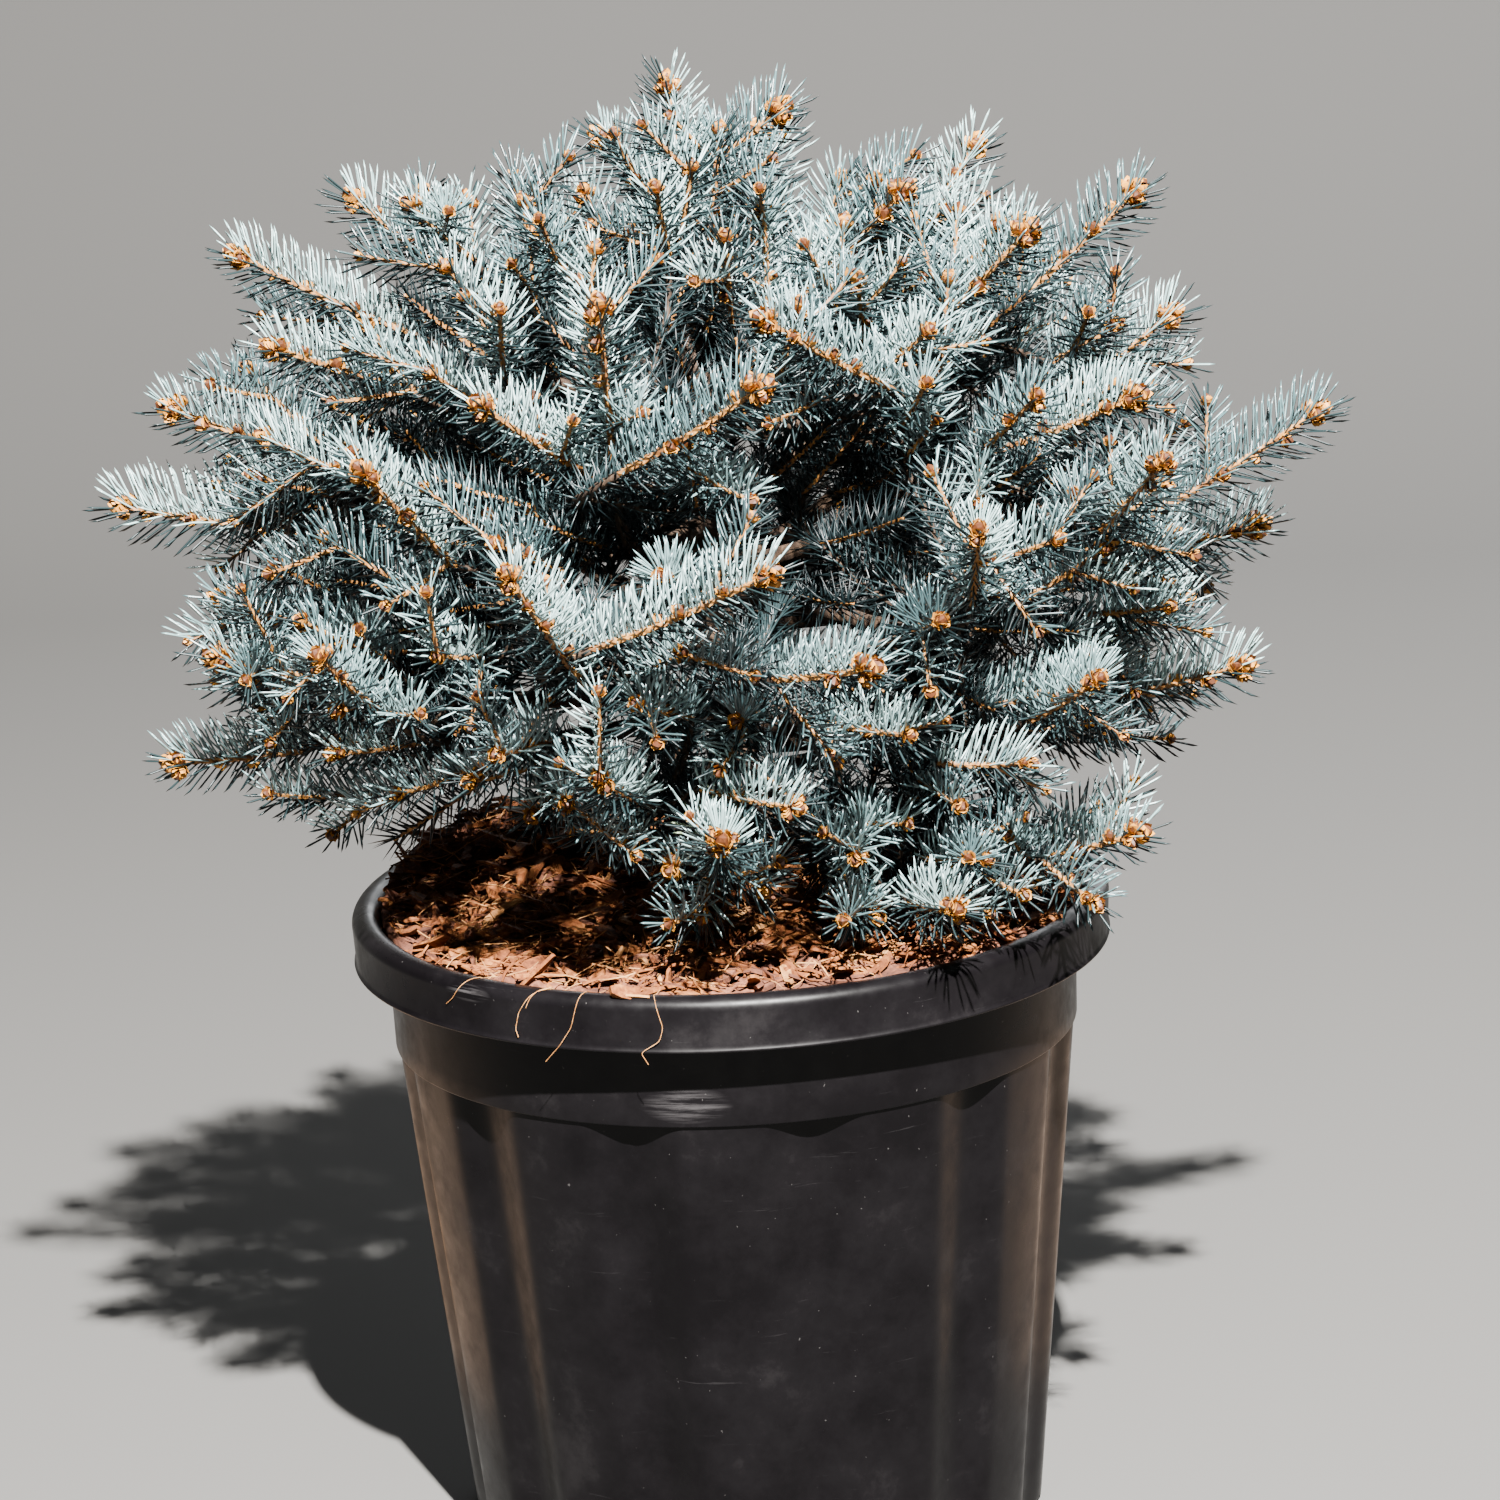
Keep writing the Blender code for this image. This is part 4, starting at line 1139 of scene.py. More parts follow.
def tube_rings(points, reaches):
    """Rings of points round a line, at a reach for each ring and side."""
    sides, overs = frames_along(points)
    _, around = circle(reaches.shape[1])
    across = sides[:, None] * around[None, :, :1] + overs[:, None] * around[None, :, 1:]
    return points[:, None] + across * reaches[:, :, None]


def add_tube(heap, points, reaches, pointed=0.0):
    """A tube whose ends stand out by a length past the first and last ring."""
    first = points[0] + unit(points[0] - points[1]) * pointed
    last = points[-1] + unit(points[-1] - points[-2]) * pointed
    add_rings(heap, tube_rings(points, reaches), first, last)


# Materials

class Finish:
    """A material with a Principled shader and short names for the nodes that feed it."""

    def __init__(self, name, roughness, specular):
        self.material = bpy.data.materials.new(name)
        self.material.use_nodes = True
        self.tree = self.material.node_tree
        self.shader = self.tree.nodes["Principled BSDF"]
        self.feed(self.shader, {"Roughness": roughness, "Specular IOR Level": specular})
        self.place = self.add("TexCoord", {}).outputs["Object"]

    def feed(self, node, inputs):
        """Set inputs of a node: each to a number or colour, or to what comes out of another node."""
        for name, source in inputs.items():
            if isinstance(source, bpy.types.NodeSocket):
                self.tree.links.new(source, node.inputs[name])
            else:
                node.inputs[name].default_value = source

    def add(self, kind, inputs, **settings):
        """A new node with its settings made and its inputs set."""
        node = self.tree.nodes.new("ShaderNode" + kind)
        for name, setting in settings.items():
            setattr(node, name, setting)
        self.feed(node, inputs)
        return node

    def mapped(self, scale, origin=(0, 0, 0)):
        """Object coordinates measured from an origin and scaled along each axis."""
        location = [-part * times for part, times in zip(origin, scale)]
        inputs = {"Vector": self.place, "Location": location, "Scale": scale}
        return self.add("Mapping", inputs).outputs["Vector"]

    def noise(self, scale, detail=3.0, roughness=0.55, place=None):
        """A noise texture's value."""
        inputs = {"Vector": place or self.place, "Scale": scale, "Detail": detail, "Roughness": roughness}
        return self.add("TexNoise", inputs).outputs["Fac"]

    def cells(self, scale, place):
        """Distance from the middle of a random cell."""
        return self.add("TexVoronoi", {"Vector": place, "Scale": scale}).outputs["Distance"]

    def patch(self, origin, size):
        """1 at a place on the surface, falling to 0 a size away along each axis."""
        place = self.mapped([1 / part for part in size], origin)
        return self.add("TexGradient", {"Vector": place}, gradient_type="SPHERICAL").outputs["Fac"]

    def ramp(self, value, stops):
        """A colour ramp over a value."""
        node = self.add("ValToRGB", {"Fac": value})
        elements = node.color_ramp.elements
        while len(elements) < len(stops):
            elements.new(0.5)
        for element, (position, colour) in zip(elements, stops):
            element.position = position
            element.color = (*colour, 1)
        return node.outputs["Color"]

    def span(self, value, low, high, new_low=0.0, new_high=1.0):
        """A value carried from one range to another, held at its ends."""
        inputs = {"Value": value, "From Min": low, "From Max": high, "To Min": new_low, "To Max": new_high}
        return self.add("MapRange", inputs).outputs["Result"]

    def maths(self, operation, first, second):
        """Two values, or a value and a number, put together."""
        return self.add("Math", {0: first, 1: second}, operation=operation).outputs["Value"]

    def blend(self, first, second, share):
        """Two values weighed together: a share of the first and the rest of the second."""
        one = self.maths("MULTIPLY", first, share)
        other = self.maths("MULTIPLY", second, 1 - share)
        return self.maths("ADD", one, other)

    def mix(self, share, first, second):
        """One colour faded into another. The node's colour sockets can be told only by their numbers."""
        factor, first_colour, second_colour, result = 0, 6, 7, 2
        inputs = {factor: share, first_colour: first, second_colour: (*second, 1)}
        return self.add("Mix", inputs, data_type="RGBA").outputs[result]

    def colour(self, source):
        self.feed(self.shader, {"Base Color": source})

    def roughness(self, source):
        self.feed(self.shader, {"Roughness": source})

    def bump(self, height, distance, strength):
        """Relief from a value, with the distance that a value of 1 stands out."""
        inputs = {"Strength": strength, "Distance": distance, "Height": height}
        self.feed(self.shader, {"Normal": self.add("Bump", inputs).outputs["Normal"]})


def plain_finish(name, colour, roughness, specular):
    """One even colour."""
    finish = Finish(name, roughness, specular)
    finish.colour((*colour, 1))
    return finish.material


def shoot_bark_finish():
    """Orange-tan bark of young shoots, browner in patches."""
    finish = Finish("shoot_bark", roughness=0.62, specular=0.3)
    tan = finish.ramp(finish.noise(scale=520, detail=4), SHOOT_TANS)
    patches = finish.span(finish.noise(scale=45), low=0.45, high=0.72)
    finish.colour(finish.mix(patches, tan, SHOOT_BROWN))
    return finish.material


def bark_finish(name, colours, flakes):
    """Scaly bark, its flakes drawn out upwards."""
    finish = Finish(name, roughness=0.85, specular=0.2)
    drawn_out = finish.mapped(scale=(1, 1, 0.45))
    cells = finish.cells(flakes, drawn_out)
    height = finish.blend(cells, finish.noise(flakes * 3, detail=6, place=drawn_out), share=0.55)
    finish.colour(finish.ramp(height, tuple(zip(BARK_STOPS, colours))))
    finish.bump(height, distance=1.2 * MM, strength=0.9)
    return finish.material


def mulch_finish(name, colours):
    """Shredded bark, streaked and dull."""
    finish = Finish(name, roughness=0.92, specular=0.15)
    grain = finish.noise(scale=420, detail=5, roughness=0.65)
    streaks = finish.blend(grain, finish.noise(scale=45), share=0.5)
    finish.colour(finish.ramp(streaks, tuple(zip(MULCH_STOPS, colours))))
    finish.bump(grain, distance=0.6 * MM, strength=0.8)
    return finish.material


def pot_finish():
    """Black plastic: dusty smudges, fine level scratches, specks and two pale patches."""
    finish = Finish("black_plastic", roughness=0.34, specular=0.09)
    dust = finish.noise(scale=13, detail=9, roughness=0.70)
    grime = finish.noise(scale=70, detail=6, roughness=0.65)
    level = finish.noise(scale=16, detail=7, roughness=0.75, place=finish.mapped(scale=(1, 1, 22)))
    fleck = finish.noise(scale=430, detail=2, roughness=0.4)
    scratches = finish.span(level, low=0.64, high=0.80, new_high=0.30)
    flecks = finish.span(fleck, low=0.765, high=0.785, new_high=0.30)
    colour = finish.mix(scratches, finish.ramp(dust, POT_BLACKS), SCRATCH_GREY)
    colour = finish.mix(flecks, colour, FLECK_GREY)
    # Two pale patches, each broken up by the level streaks.
    for azimuth, radius, height, size, strength in POT_PALE_PATCHES:
        near = finish.span(finish.patch(round_pot(azimuth, radius, height), size), low=0.0, high=0.9)
        paled = finish.maths("MULTIPLY", near, finish.span(level, low=0.46, high=0.62, new_high=strength))
        colour = finish.mix(paled, colour, PALE_PATCH_GREY)
    finish.colour(colour)
    uneven = finish.blend(grime, dust, share=0.5)
    finish.roughness(finish.span(uneven, low=0.38, high=0.62, new_low=0.26, new_high=0.46))
    finish.bump(uneven, distance=0.30 * MM, strength=0.45)
    return finish.material


# Pot

def flute_share(azimuth):
    """How deep into a flute an azimuth in degrees lies, from 0 on the wall to 1 in a flute's middle."""
    pitch = 360 / FLUTES
    offset = np.abs((azimuth - FLUTE_AZIMUTH + pitch / 2) % pitch - pitch / 2)
    return 0.5 + 0.5 * np.cos(pi * np.minimum(offset / FLUTE_REACH, 1))


def arc_rows(height, radius, size, start, end, steps):
    """Rows of height, radius and flute depth round a corner, with angles in degrees from level to up."""
    rows = []
    for turn in np.linspace(start, end, steps + 1):
        rows.append((height + size * sin(radians(turn)), radius + size * cos(radians(turn)), 0))
    return rows


def pot_rows():
    """The pot's outline from the foot, up the outside, over the lip and down the inside."""
    step = POT_HEIGHT - LIP_HEIGHT - BAND_HEIGHT
    under_lip = POT_HEIGHT - LIP_HEIGHT
    soft = SOFT_EDGE
    rows = [(0, BODY_FOOT_RADIUS - FOOT_BEVEL, 1), (soft, BODY_FOOT_RADIUS - soft, 1)]
    for height in np.linspace(FOOT_BEVEL, step - soft, WALL_ROWS):
        share = (height - FOOT_BEVEL) / (step - FOOT_BEVEL)
        rows.append((height, BODY_FOOT_RADIUS + (BODY_TOP_RADIUS - BODY_FOOT_RADIUS) * share, 1))
    rows.append((step, BODY_TOP_RADIUS, 1))
    rows += arc_rows(step + soft, BAND_RADIUS - DRAFT - soft, soft, *BAND_EDGE)
    for share in np.linspace(0, 1, BAND_ROWS + 1)[1:]:
        height = step + soft + (under_lip - soft - step) * share
        rows.append((height - soft * (share == 1), BAND_RADIUS - DRAFT * (1 - share), 0))
    rows += [(under_lip, BAND_RADIUS + soft, 0), (under_lip, LIP_RADIUS - 2 * soft, 0)]
    rows += arc_rows(under_lip + soft, LIP_RADIUS - soft, soft, *LIP_EDGE)
    rows.append((under_lip + LIP_BEAD, LIP_RADIUS - DRAFT, 0))
    inner_round = LIP_RADIUS - LIP_WIDTH + LIP_ROUND
    rows += arc_rows(POT_HEIGHT - LIP_ROUND, LIP_RADIUS - LIP_ROUND, LIP_ROUND, *LIP_OUTSIDE)
    rows += arc_rows(POT_HEIGHT - LIP_ROUND, inner_round, LIP_ROUND, *LIP_INSIDE)
    rows += [
        (under_lip, BAND_RADIUS - WALL, 0),
        (step + WALL + 2 * soft, BAND_RADIUS - DRAFT - WALL, 0),
        (step + WALL, BODY_TOP_RADIUS - WALL, 1),
        (FOOT_BEVEL + WALL, BODY_FOOT_RADIUS - WALL, 1),
    ]
    return rows


def make_pot():
    """The turned, fluted pot with a faint mould seam down each side of its wall."""
    turns, around = circle(POT_COLUMNS)
    azimuths = np.degrees(turns)
    flutes = flute_share(azimuths)
    seam_gap = np.abs((azimuths - SEAM_AZIMUTH + 90) % 180 - 90)
    seam = SEAM_HEIGHT * np.clip(1 - seam_gap / SEAM_WIDTH, 0, 1)
    rings = []
    for height, radius, fluted in pot_rows():
        reach = radius - FLUTE_DEPTH * flutes * fluted + seam * fluted * (radius > BODY_FOOT_RADIUS)
        rings.append(level_ring(around, reach, height))
    heap = Heap()
    add_rings(heap, np.array(rings), (0, 0, 0), (0, 0, FOOT_BEVEL + WALL))
    pot = heap.mesh_object("pot_shell", pot_finish())
    pot.data.set_sharp_from_angle(angle=radians(POT_SHARP_ANGLE))
    return pot


# Mulch

def level_noise(x, y, height, scale, *kind):
    """Fractal noise at a place on a level slice."""
    return noise.fractal(Vector((x, y, height)) * scale, *kind)


def mulch_height(x, y):
    """Height of the mulch at a place: higher towards the trunk and in a heap at the back left."""
    share = min(1, max(0, (MULCH_REACH - sqrt(x * x + y * y)) / (MULCH_REACH - MULCH_FLAT_RADIUS)))
    height = POT_HEIGHT - MULCH_EDGE_DROP + MULCH_RISE * share + heap_rise(x, y)
    return height + BED_LUMP * level_noise(x, y, *LUMP_NOISE) + BED_GRAIN * level_noise(x, y, *GRAIN_NOISE)


def make_mulch_bed(finish):
    """The lumpy bed, closed below, at the foot of the lip's inside."""
    _, around = circle(BED_COLUMNS)
    bottom = POT_HEIGHT - LIP_HEIGHT
    rings = [level_ring(around, BAND_RADIUS - WALL - MULCH_SLACK, bottom)]
    for share in np.sqrt(np.linspace(1, 0, BED_RINGS, endpoint=False)):
        level = around * MULCH_REACH * share
        rings.append(level_ring(level, 1, [mulch_height(x, y) for x, y in level]))
    heap = Heap()
    add_rings(heap, np.array(rings), (0, 0, bottom), (0, 0, mulch_height(0, 0)))
    return heap.mesh_object("mulch_bed", finish)


def add_strips(heap, starts, ways, lengths, widths, thick, curls, section, draw):
    """Torn strips of bark, ragged along their stations, with a section of three or four corners."""
    count = len(starts)
    roll = draw.normal(0, STRIP_ROLL, count)[:, None]
    level = units(np.cross((0, 0, 1), ways))
    upright = np.cross(ways, level)
    side = level * np.cos(roll) + upright * np.sin(roll)
    over = upright * np.cos(roll) - level * np.sin(roll)
    points = []
    for share, width in STRIP_STATIONS:
        bow = 1 - (2 * share - 1) ** 2
        shift = side * (widths * draw.normal(0, STRIP_STAGGER, count))[:, None]
        centre = starts + ways * (lengths * share)[:, None] + curls * (lengths * bow)[:, None] + shift
        half = (widths * width * draw.uniform(*STRIP_RAGGED, count) / 2)[:, None]
        for across, above in section:
            points.append(centre + side * across * half + over * above * (thick / 2)[:, None])
    corners = len(section)
    last = (len(STRIP_STATIONS) - 1) * corners
    ends = [(2, 1, 0), (last, last + 1, last + 2)]
    if corners == 4:
        ends += [(3, 2, 0), (last, last + 2, last + 3)]
    heap.add_copies(np.stack(points, axis=1), ring_quads(len(STRIP_STATIONS), corners), ends)


def scatter_strips(heap, kind, draw):
    """Strips of one kind that lie over the bed every way, some with an end up."""
    count, lengths, widths, thick, lift, section = kind
    reach = MULCH_REACH * np.sqrt(draw.uniform(0, 1, count)) - STRIP_INSET
    turn = draw.uniform(0, 2 * pi, count)
    x = reach * np.cos(turn)
    y = reach * np.sin(turn)
    height = np.array([mulch_height(a, b) for a, b in zip(x, y)])
    size = draw.uniform(*lengths, count)
    azimuth = draw.uniform(0, 2 * pi, count)
    rise = np.radians(draw.normal(*STRIP_RISE, count))
    ways = np.stack((np.cos(azimuth) * np.cos(rise), np.sin(azimuth) * np.cos(rise), np.sin(rise)), axis=1)
    starts = np.stack((x, y, height + draw.uniform(0, lift, count)), axis=1) - ways * (size / 2)[:, None]
    curls = draw.normal(0, STRIP_CURL, (count, 3))
    inside = np.ones(count, bool)
    for end in (starts, starts + ways * size[:, None]):
        inside &= np.hypot(end[:, 0], end[:, 1]) < MULCH_REACH + STRIP_OVERLAP
    width = draw.uniform(*widths, count)
    depth = draw.uniform(*thick, count)
    add_strips(heap, starts[inside], ways[inside], size[inside], width[inside], depth[inside],
               curls[inside], section, draw)


def over_lip(azimuth, along):
    """A place on the lip, a length past the start of its rounded edge, or inwards of it."""
    turn = min(max(along / LIP_ROUND, 0), pi / 2)
    middle = LIP_RADIUS - LIP_ROUND
    reach = middle + (LIP_ROUND + STRAND_RADIUS) * sin(turn) + min(0, along)
    drop = max(0, along - LIP_ROUND * pi / 2)
    height = POT_HEIGHT - LIP_ROUND + (LIP_ROUND + STRAND_RADIUS) * cos(turn) - drop
    place = np.array(round_pot(azimuth, reach, height))
    if reach < LIP_RADIUS - LIP_WIDTH + LIP_ROUND / 2:
        place[2] = max(height - LIP_ROUND / 2, mulch_height(*place[:2]) + STRAND_LIFT)
    return place


def add_lip_litter(heaps, draw):
    """Fine strands that hang over the lip, and pieces of bark that lie on it or near it."""
    for strand in STRANDS:
        azimuths, alongs = np.array(strand).T
        stations = np.linspace(0, len(strand) - 1, STRAND_STEPS + 1)
        azimuths = np.interp(stations, range(len(strand)), azimuths)
        alongs = np.interp(stations, range(len(strand)), alongs) * MM
        route = np.array([over_lip(azimuth, along) for azimuth, along in zip(azimuths, alongs)])
        route[1:-1] = (route[:-2] + route[1:-1] * 2 + route[2:]) / 4
        add_tube(heaps["tan"], route, np.full((len(route), STRAND_SIDES), STRAND_RADIUS), STRAND_RADIUS)
    for tint, azimuth, along, turn, size in LIP_PIECES:
        place = over_lip(azimuth, along * MM) + (0, 0, size[2] * MM / 2)
        way = heading(turn, 0)
        length, width, thick = (np.array([part * MM]) for part in size)
        starts = (place - way * length / 2)[None]
        add_strips(heaps[tint], starts, way[None], length, width, thick, np.zeros((1, 3)), SLAB, draw)


def make_mulch():
    """The bed, strips and splinters of three tints, and what lies on the lip."""
    draw = np.random.default_rng(MULCH_SEED)
    finishes = {tint: mulch_finish("mulch_" + tint, colours) for tint, colours in MULCH_TINTS.items()}
    heaps = {tint: Heap() for tint in MULCH_TINTS}
    for tint, kind in MULCH_STRIPS:
        scatter_strips(heaps[tint], kind, draw)
    add_lip_litter(heaps, draw)
    pieces = [make_mulch_bed(finishes["dark"])]
    for tint, heap in heaps.items():
        pieces.append(heap.mesh_object("mulch_strips_" + tint, finishes[tint], smooth=False))
    return pieces


# Trunk and boughs

def bark_relief(point, depth):
    """How far bark stands out at a point: long plates with furrows between."""
    place = Vector((point[0], point[1], point[2] * PLATE_STRETCH)) * BARK_SCALE
    furrow = FURROW_DEPTH * min(abs(noise.noise(place * FURROW_SCALE)), FURROW_REACH)
    return depth * (PLATE_SHARE * noise.fractal(place, *PLATE_NOISE) + furrow - BARK_SINK)


def make_trunk():
    """The trunk's bark in relief, lobed at the root flare, over the trunk's solid."""
    turns, around = circle(TRUNK_SIDES)
    around = level_ring(around, 1, 0)
    rings = []
    for share in np.linspace(0, 1, TRUNK_RINGS + 1):
        centre = trunk_axis(share)
        lobes = LOBE_SHARE * max(0, 1 - (centre[2] - mulch_top()) / FLARE_HEIGHT)
        reach = trunk_radius(share) * (1 + lobes * (np.cos(FLARE_LOBES * turns) - 1))
        ring = centre + around * reach[:, None]
        depth = BARK_DEPTH * (1 - BARK_THINNING * share)
        relief = np.array([bark_relief(point, depth) for point in ring])
        rings.append(ring + around * relief[:, None])
    rings[0][:, 2] -= BED_LUMP
    heap = Heap()
    add_rings(heap, np.array(rings), trunk_axis(0) - (0, 0, BED_LUMP), trunk_axis(1))
    return heap.mesh_object("trunk_bark", bark_finish("trunk_bark", TRUNK_BARK, TRUNK_FLAKES))


def add_rough_limb(heap, line, radii, sides, pitch):
    """A tube along a line with bumps of bark."""
    along = lengths_along(line)
    steps = max(2, ceil(along[-1] / pitch))
    fine = part_of_line(line, 0, along[-1], steps)
    reach = np.interp(np.linspace(0, along[-1], steps + 1), along, radii)
    reaches = np.repeat(reach[:, None], sides, axis=1)
    rings = tube_rings(fine, reaches).reshape(-1, 3)
    bumps = np.array([noise.noise(Vector(point) * BOUGH_BARK_SCALE) for point in rings])
    add_tube(heap, fine, reaches * (1 + BOUGH_BARK_DEPTH * bumps.reshape(reaches.shape)))


def make_boughs(crown):
    """Boughs, stems and older twigs with rough bark, each from inside what carries it."""
    heap = Heap()
    for name, branches in crown.masses.items():
        line = branches[0].bare()
        radii = np.linspace(STEM_RADIUS, SHOOT_BARK_RADIUS, len(line))
        if name in crown.boughs:
            bough = crown.boughs[name]
            line = np.concatenate((bough.points, line[1:]))
            radii = np.concatenate((np.linspace(bough.radii[0], STEM_RADIUS, len(bough.points)), radii[1:]))
        root = line[0] + unit(line[0] - line[1]) * ROOT_DEPTH
        line = np.concatenate(([root], line))
        radii = np.concatenate(([radii[0] * ROOT_SWELL], radii))
        add_rough_limb(heap, line, radii, *LIMB_MESH)
        for branch in branches[1:]:
            if branch.needles_from:
                twig = branch.bare()
                radii = np.linspace(TWIG_RADIUS, SHOOT_BARK_RADIUS, len(twig))
                add_rough_limb(heap, twig, radii, *TWIG_MESH)
    return heap.mesh_object("bough_bark", bark_finish("bough_bark", BOUGH_BARK, BOUGH_FLAKES))


# Shoots

class NeedleHeap:
    """Needles of one tint and form, each from a foot along a way with a bend."""

    def __init__(self, stations):
        self.stations = stations
        self.parts = []
        self.count = 0

    def add(self, *columns):
        """Feet, ways, bends, lengths, radii and rolls of more needles."""
        self.parts.append(columns)
        self.count += len(columns[0])

    def mesh_object(self, name, finish):
        """All needles as one mesh: rings at the stations and a point."""
        feet, ways, bends, lengths, radii, rolls = (np.concatenate(column) for column in zip(*self.parts))
        side = units(np.cross(ways, ODD_WAY))
        over = np.cross(ways, side)
        points = []
        for share, width in self.stations:
            centre = feet + ways * (lengths * share)[:, None] + bends * (lengths * share * share)[:, None]
            for corner in range(NEEDLE_SIDES):
                angle = (rolls + 2 * pi * corner / NEEDLE_SIDES)[:, None]
                out = side * np.cos(angle) + over * np.sin(angle)
                points.append(centre + out * (radii * width)[:, None])
        points.append(feet + (ways + bends) * lengths[:, None])
        last = NEEDLE_SIDES * (len(self.stations) - 1)
        sides = range(NEEDLE_SIDES)
        tips = [(last + i, last + (i + 1) % NEEDLE_SIDES, last + NEEDLE_SIDES) for i in sides]
        heap = Heap()
        heap.add_copies(np.stack(points, axis=1), ring_quads(len(self.stations), NEEDLE_SIDES), tips)
        return heap.mesh_object(name, finish)


def shoot_frame(axis, distances, centre):
    """Places along a shoot with its tangent, the upper side and the side way at each."""
    total = lengths_along(axis)[-1]
    places = places_on_line(axis, distances)
    ahead = places_on_line(axis, np.minimum(distances + FRAME_NUDGE, total))
    behind = places_on_line(axis, np.maximum(distances - FRAME_NUDGE, 0))
    tangents = units(ahead - behind)
    upper = np.array((0, 0, 1.0)) + unit(axis[len(axis) // 2] - centre) * OUTWARD_SHARE
    uppers = units(upper - tangents * (tangents @ upper)[:, None])
    return places, tangents, uppers, np.cross(tangents, uppers)


def parted_needles(out, tangents, outward, draw):
    """Which needles are missing where a shoot faces out of the crown."""
    across = outward - tangents * (outward * tangents).sum(axis=1)[:, None]
    facing = (out * units(across)).sum(axis=1)
    share = draw.uniform(*PARTING_SHARE) * np.linalg.norm(across, axis=1)
    return (facing > cos(radians(PARTING_ANGLE))) & (draw.uniform(0, 1, len(out)) < share)


def add_shoot_needles(heaps, axis, centre, draw, density, size, radius):
    """Needles all round a shoot, crowded above: a heap for the upper ones and one for the lower, which
    takes a tint of painted shade.
    """
    total = lengths_along(axis)[-1]
    count = int(total * density)
    distances = (np.arange(count) + draw.uniform(*PLACE_RANGE, count)) / count * total
    places, tangents, uppers, sides = shoot_frame(axis, distances, centre)
    level = 1 - tangents[:, 2] ** 2
    near_tip = np.clip(1 - (total - distances) / TIP_STRETCH, 0, 1)

    turns = np.arange(count) * GOLDEN_ANGLE + draw.normal(0, TURN_NOISE, count)
    turns = turns - UPPER_CROWDING * level * np.sin(turns)
    upward = np.cos(turns)
    out = uppers * upward[:, None] + sides * np.sin(turns)[:, None]
    parted = parted_needles(out, tangents, units(places - centre), draw)

    lean = NEEDLE_LEAN + UPPER_LEAN * upward * level - LEAN_LOSS * distances / total
    lean = np.radians(lean - TIP_LEAN * near_tip ** TIP_LEAN_POWER + draw.normal(0, LEAN_NOISE, count))
    ways = out * np.sin(lean)[:, None] + tangents * np.cos(lean)[:, None]
    ways[:, 2] += np.clip(NEEDLE_LIFT + NEEDLE_LIFT * upward, 0, 1) * level
    ways = units(ways)
    bends = tangents * draw.uniform(*NEEDLE_BEND, count)[:, None]
    bends[:, 2] += UPWARD_BEND * level

    lengths = size * draw.normal(1, NEEDLE_LENGTH_NOISE, count) * (1 - TIP_LOSS * near_tip)
    lengths *= np.clip(FOOT_SHARE + distances / FOOT_STRETCH * (1 - FOOT_SHARE), FOOT_SHARE, 1)
    feet = places + out * SHOOT_BARK_TIP_RADIUS * FOOT_SINK
    keep = ~parted & ~in_pot(feet + ways * lengths[:, None], NEEDLE_POT_ROOM)
    rolls = draw.uniform(0, 2 * pi, count)
    # Needles that point down go to the second heap, whose tint is painted shade.
    low = upward + draw.normal(0, LOWER_NOISE, count) < LOWER_NEEDLES
    for heap, chosen in zip(heaps, (keep & ~low, keep & low)):
        columns = (feet, ways, bends, lengths, np.full(count, radius), rolls)
        heap.add(*(column[chosen] for column in columns))


def dealt_tint(kind, height, draw):
    """The tint of one spray, dealt by weight, with fresh green only low down."""
    pick = draw.random()
    for tint, weight in TINT_WEIGHTS[kind]:
        pick -= weight
        if pick <= 0:
            return "frost" if tint == "fresh" and height > FRESH_BELOW else tint
    return TINT_WEIGHTS[kind][-1][0]


def make_needles(crown):
    """Needles of every shoot, dealt by spray into tints, in pieces small enough to export."""
    rooms = {}

    def room(tint, form):
        heaps = rooms.setdefault((tint, form), [NeedleHeap(NEEDLE_FORMS[form])])
        if heaps[-1].count > PIECE_LIMIT:
            heaps.append(NeedleHeap(NEEDLE_FORMS[form]))
        return heaps[-1]

    for number, branch in enumerate(crown.shoots()):
        draw = np.random.default_rng(NEEDLE_SEED * SEED_STEP + number)
        tint = dealt_tint(branch.kind, branch.points[-1][2], draw)
        size = NEEDLE_LENGTH * draw.uniform(*NEEDLE_SIZES) * KIND_SIZES[branch.kind]
        if branch.kind == "inner":
            form, density, radius = "thin", OLD_NEEDLE_DENSITY, OLD_NEEDLE_RADIUS
        else:
            form, density, radius = "full", NEEDLE_DENSITY[branch.kind], NEEDLE_RADIUS
        # The second heap holds the lower needles, in a painted-shade tint.
        heaps = (room(tint, form), room(LOWER_SHADE_TINTS[tint], form))
        add_shoot_needles(heaps, branch.drawn(), crown.centre, draw, density, size, radius)
        if branch.needles_from:
            # Older needles along the bare stem, in the two painted-shade tints.
            heaps = (room("deep", "thin"), room("old", "thin"))
            old = (OLD_NEEDLE_DENSITY, NEEDLE_LENGTH * OLD_NEEDLE_SHARE, OLD_NEEDLE_RADIUS)
            add_shoot_needles(heaps, branch.bare(), crown.centre, draw, *old)
    finishes = {}
    for tint, colour in TINTS.items():
        finishes[tint] = plain_finish("needles_" + tint, colour, NEEDLE_ROUGHNESS, GLOSS[tint])
    pieces = []
    for (tint, form), heaps in rooms.items():
        for number, heap in enumerate(heaps):
            pieces.append(heap.mesh_object(f"needles_{tint}_{form}_{number + 1}", finishes[tint]))
    return pieces


